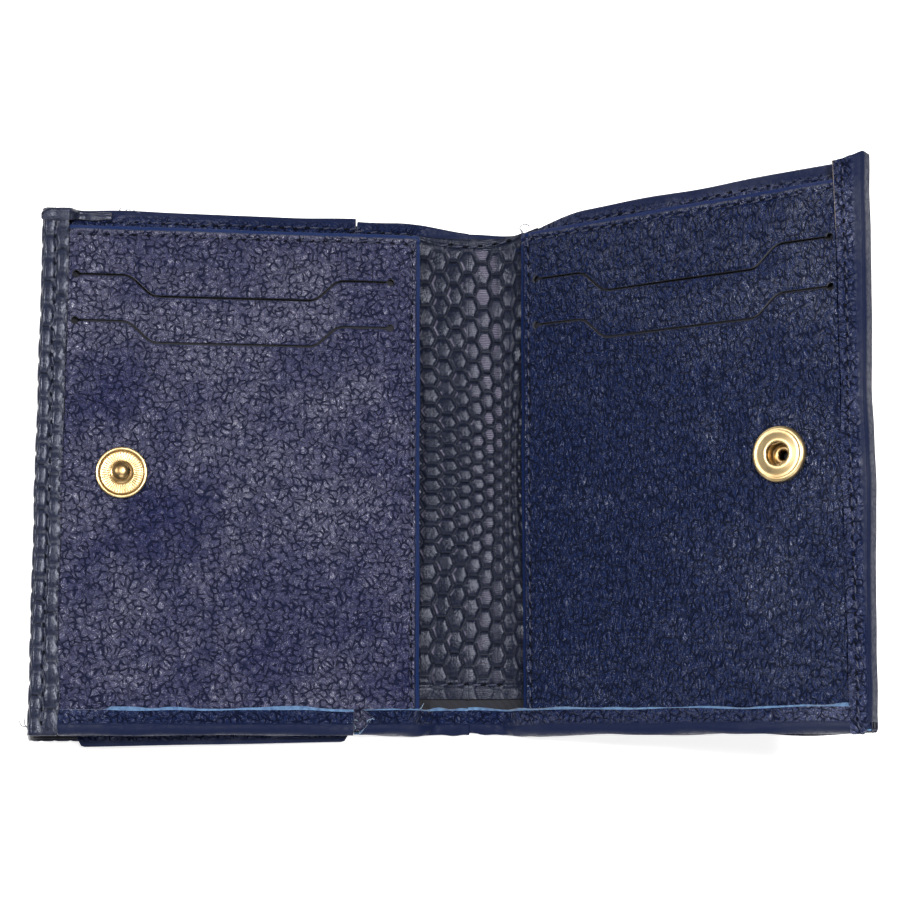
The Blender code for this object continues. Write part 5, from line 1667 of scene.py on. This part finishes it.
class WALLET_OT_shell(bpy.types.Operator):
    """Build the outer leather on both sides of the spine"""
    bl_idname = "wallet.shell"
    bl_label = "Shell"

    def execute(self, context):
        ready()
        build_shell()
        return {"FINISHED"}


class WALLET_OT_pocket_back(bpy.types.Operator):
    """Build the left panel's outer leather"""
    bl_idname = "wallet.pocket_back"
    bl_label = "Coin pocket back"

    def execute(self, context):
        ready()
        build_pocket_back()
        return {"FINISHED"}


class WALLET_OT_side_hem(bpy.types.Operator):
    """Build the right panel's turned side edge"""
    bl_idname = "wallet.side_hem"
    bl_label = "Side hem"

    def execute(self, context):
        ready()
        build_side_hem()
        return {"FINISHED"}


class WALLET_OT_bill_lining(bpy.types.Operator):
    """Build the bill compartment's lining"""
    bl_idname = "wallet.bill_lining"
    bl_label = "Bill lining"

    def execute(self, context):
        ready()
        build_bill_lining()
        return {"FINISHED"}


class WALLET_OT_spine_strip(bpy.types.Operator):
    """Build the embossed strip down the spine"""
    bl_idname = "wallet.spine_strip"
    bl_label = "Spine strip"

    def execute(self, context):
        ready()
        build_spine_strip()
        return {"FINISHED"}


class WALLET_OT_wrap(bpy.types.Operator):
    """Build the edge strip and the coin flap"""
    bl_idname = "wallet.wrap"
    bl_label = "Edge strip and flap"

    def execute(self, context):
        ready()
        build_wrap()
        return {"FINISHED"}


class WALLET_OT_corner_cap(bpy.types.Operator):
    """Build the cap on the top outer corner"""
    bl_idname = "wallet.corner_cap"
    bl_label = "Corner cap"

    def execute(self, context):
        ready()
        build_corner_cap()
        return {"FINISHED"}


class WALLET_OT_card_panels(bpy.types.Operator):
    """Build the two card panels with their slots"""
    bl_idname = "wallet.card_panels"
    bl_label = "Card panels"

    def execute(self, context):
        ready()
        build_card_panels()
        return {"FINISHED"}


class WALLET_OT_coin_pocket(bpy.types.Operator):
    """Build the coin pocket's front and gussets"""
    bl_idname = "wallet.coin_pocket"
    bl_label = "Coin pocket"

    def execute(self, context):
        ready()
        build_coin_pocket()
        return {"FINISHED"}


class WALLET_OT_snaps(bpy.types.Operator):
    """Build the press studs and sockets"""
    bl_idname = "wallet.snaps"
    bl_label = "Press studs"

    def execute(self, context):
        ready()
        build_snaps()
        return {"FINISHED"}


class WALLET_OT_linings(bpy.types.Operator):
    """Finish the inner walls and card pockets"""
    bl_idname = "wallet.linings"
    bl_label = "Linings"

    def execute(self, context):
        ready()
        build_linings()
        return {"FINISHED"}


class WALLET_OT_stitches(bpy.types.Operator):
    """Sew the seams"""
    bl_idname = "wallet.stitches"
    bl_label = "Stitches"

    def execute(self, context):
        ready()
        build_stitches()
        return {"FINISHED"}


class WALLET_OT_loose_threads(bpy.types.Operator):
    """Add thread ends and frayed fibres"""
    bl_idname = "wallet.loose_threads"
    bl_label = "Loose threads"

    def execute(self, context):
        ready()
        build_loose_threads()
        return {"FINISHED"}


OPERATORS = [WALLET_OT_stage, WALLET_OT_shell, WALLET_OT_pocket_back, WALLET_OT_side_hem,
             WALLET_OT_bill_lining, WALLET_OT_spine_strip, WALLET_OT_wrap, WALLET_OT_corner_cap,
             WALLET_OT_card_panels, WALLET_OT_coin_pocket, WALLET_OT_snaps, WALLET_OT_linings,
             WALLET_OT_stitches, WALLET_OT_loose_threads]


class WALLET_PT_maker(bpy.types.Panel):
    """Lists the wallet's sizes and the buttons that build its pieces"""
    bl_label = "Folding wallet"
    bl_idname = "WALLET_PT_maker"
    bl_space_type = "VIEW_3D"
    bl_region_type = "UI"
    bl_category = "Wallet"

    def draw(self, context):
        for key, group in GROUPS.items():
            column = self.layout.column(align=True)
            for name in group.__annotations__:
                column.prop(getattr(context.scene, key), name)
        for operator in OPERATORS:
            self.layout.operator(operator.bl_idname)


CLASSES = [*GROUPS.values(), *OPERATORS, WALLET_PT_maker]


def register():
    for item in CLASSES:
        bpy.utils.register_class(item)
    for key, group in GROUPS.items():
        setattr(bpy.types.Scene, key, bpy.props.PointerProperty(type=group))


def unregister():
    for key in GROUPS:
        delattr(bpy.types.Scene, key)
    for item in reversed(CLASSES):
        bpy.utils.unregister_class(item)


def main():
    register()
    for operator in OPERATORS:
        getattr(bpy.ops.wallet, operator.bl_idname.split(".")[1])()


if __name__ == "__main__":
    main()
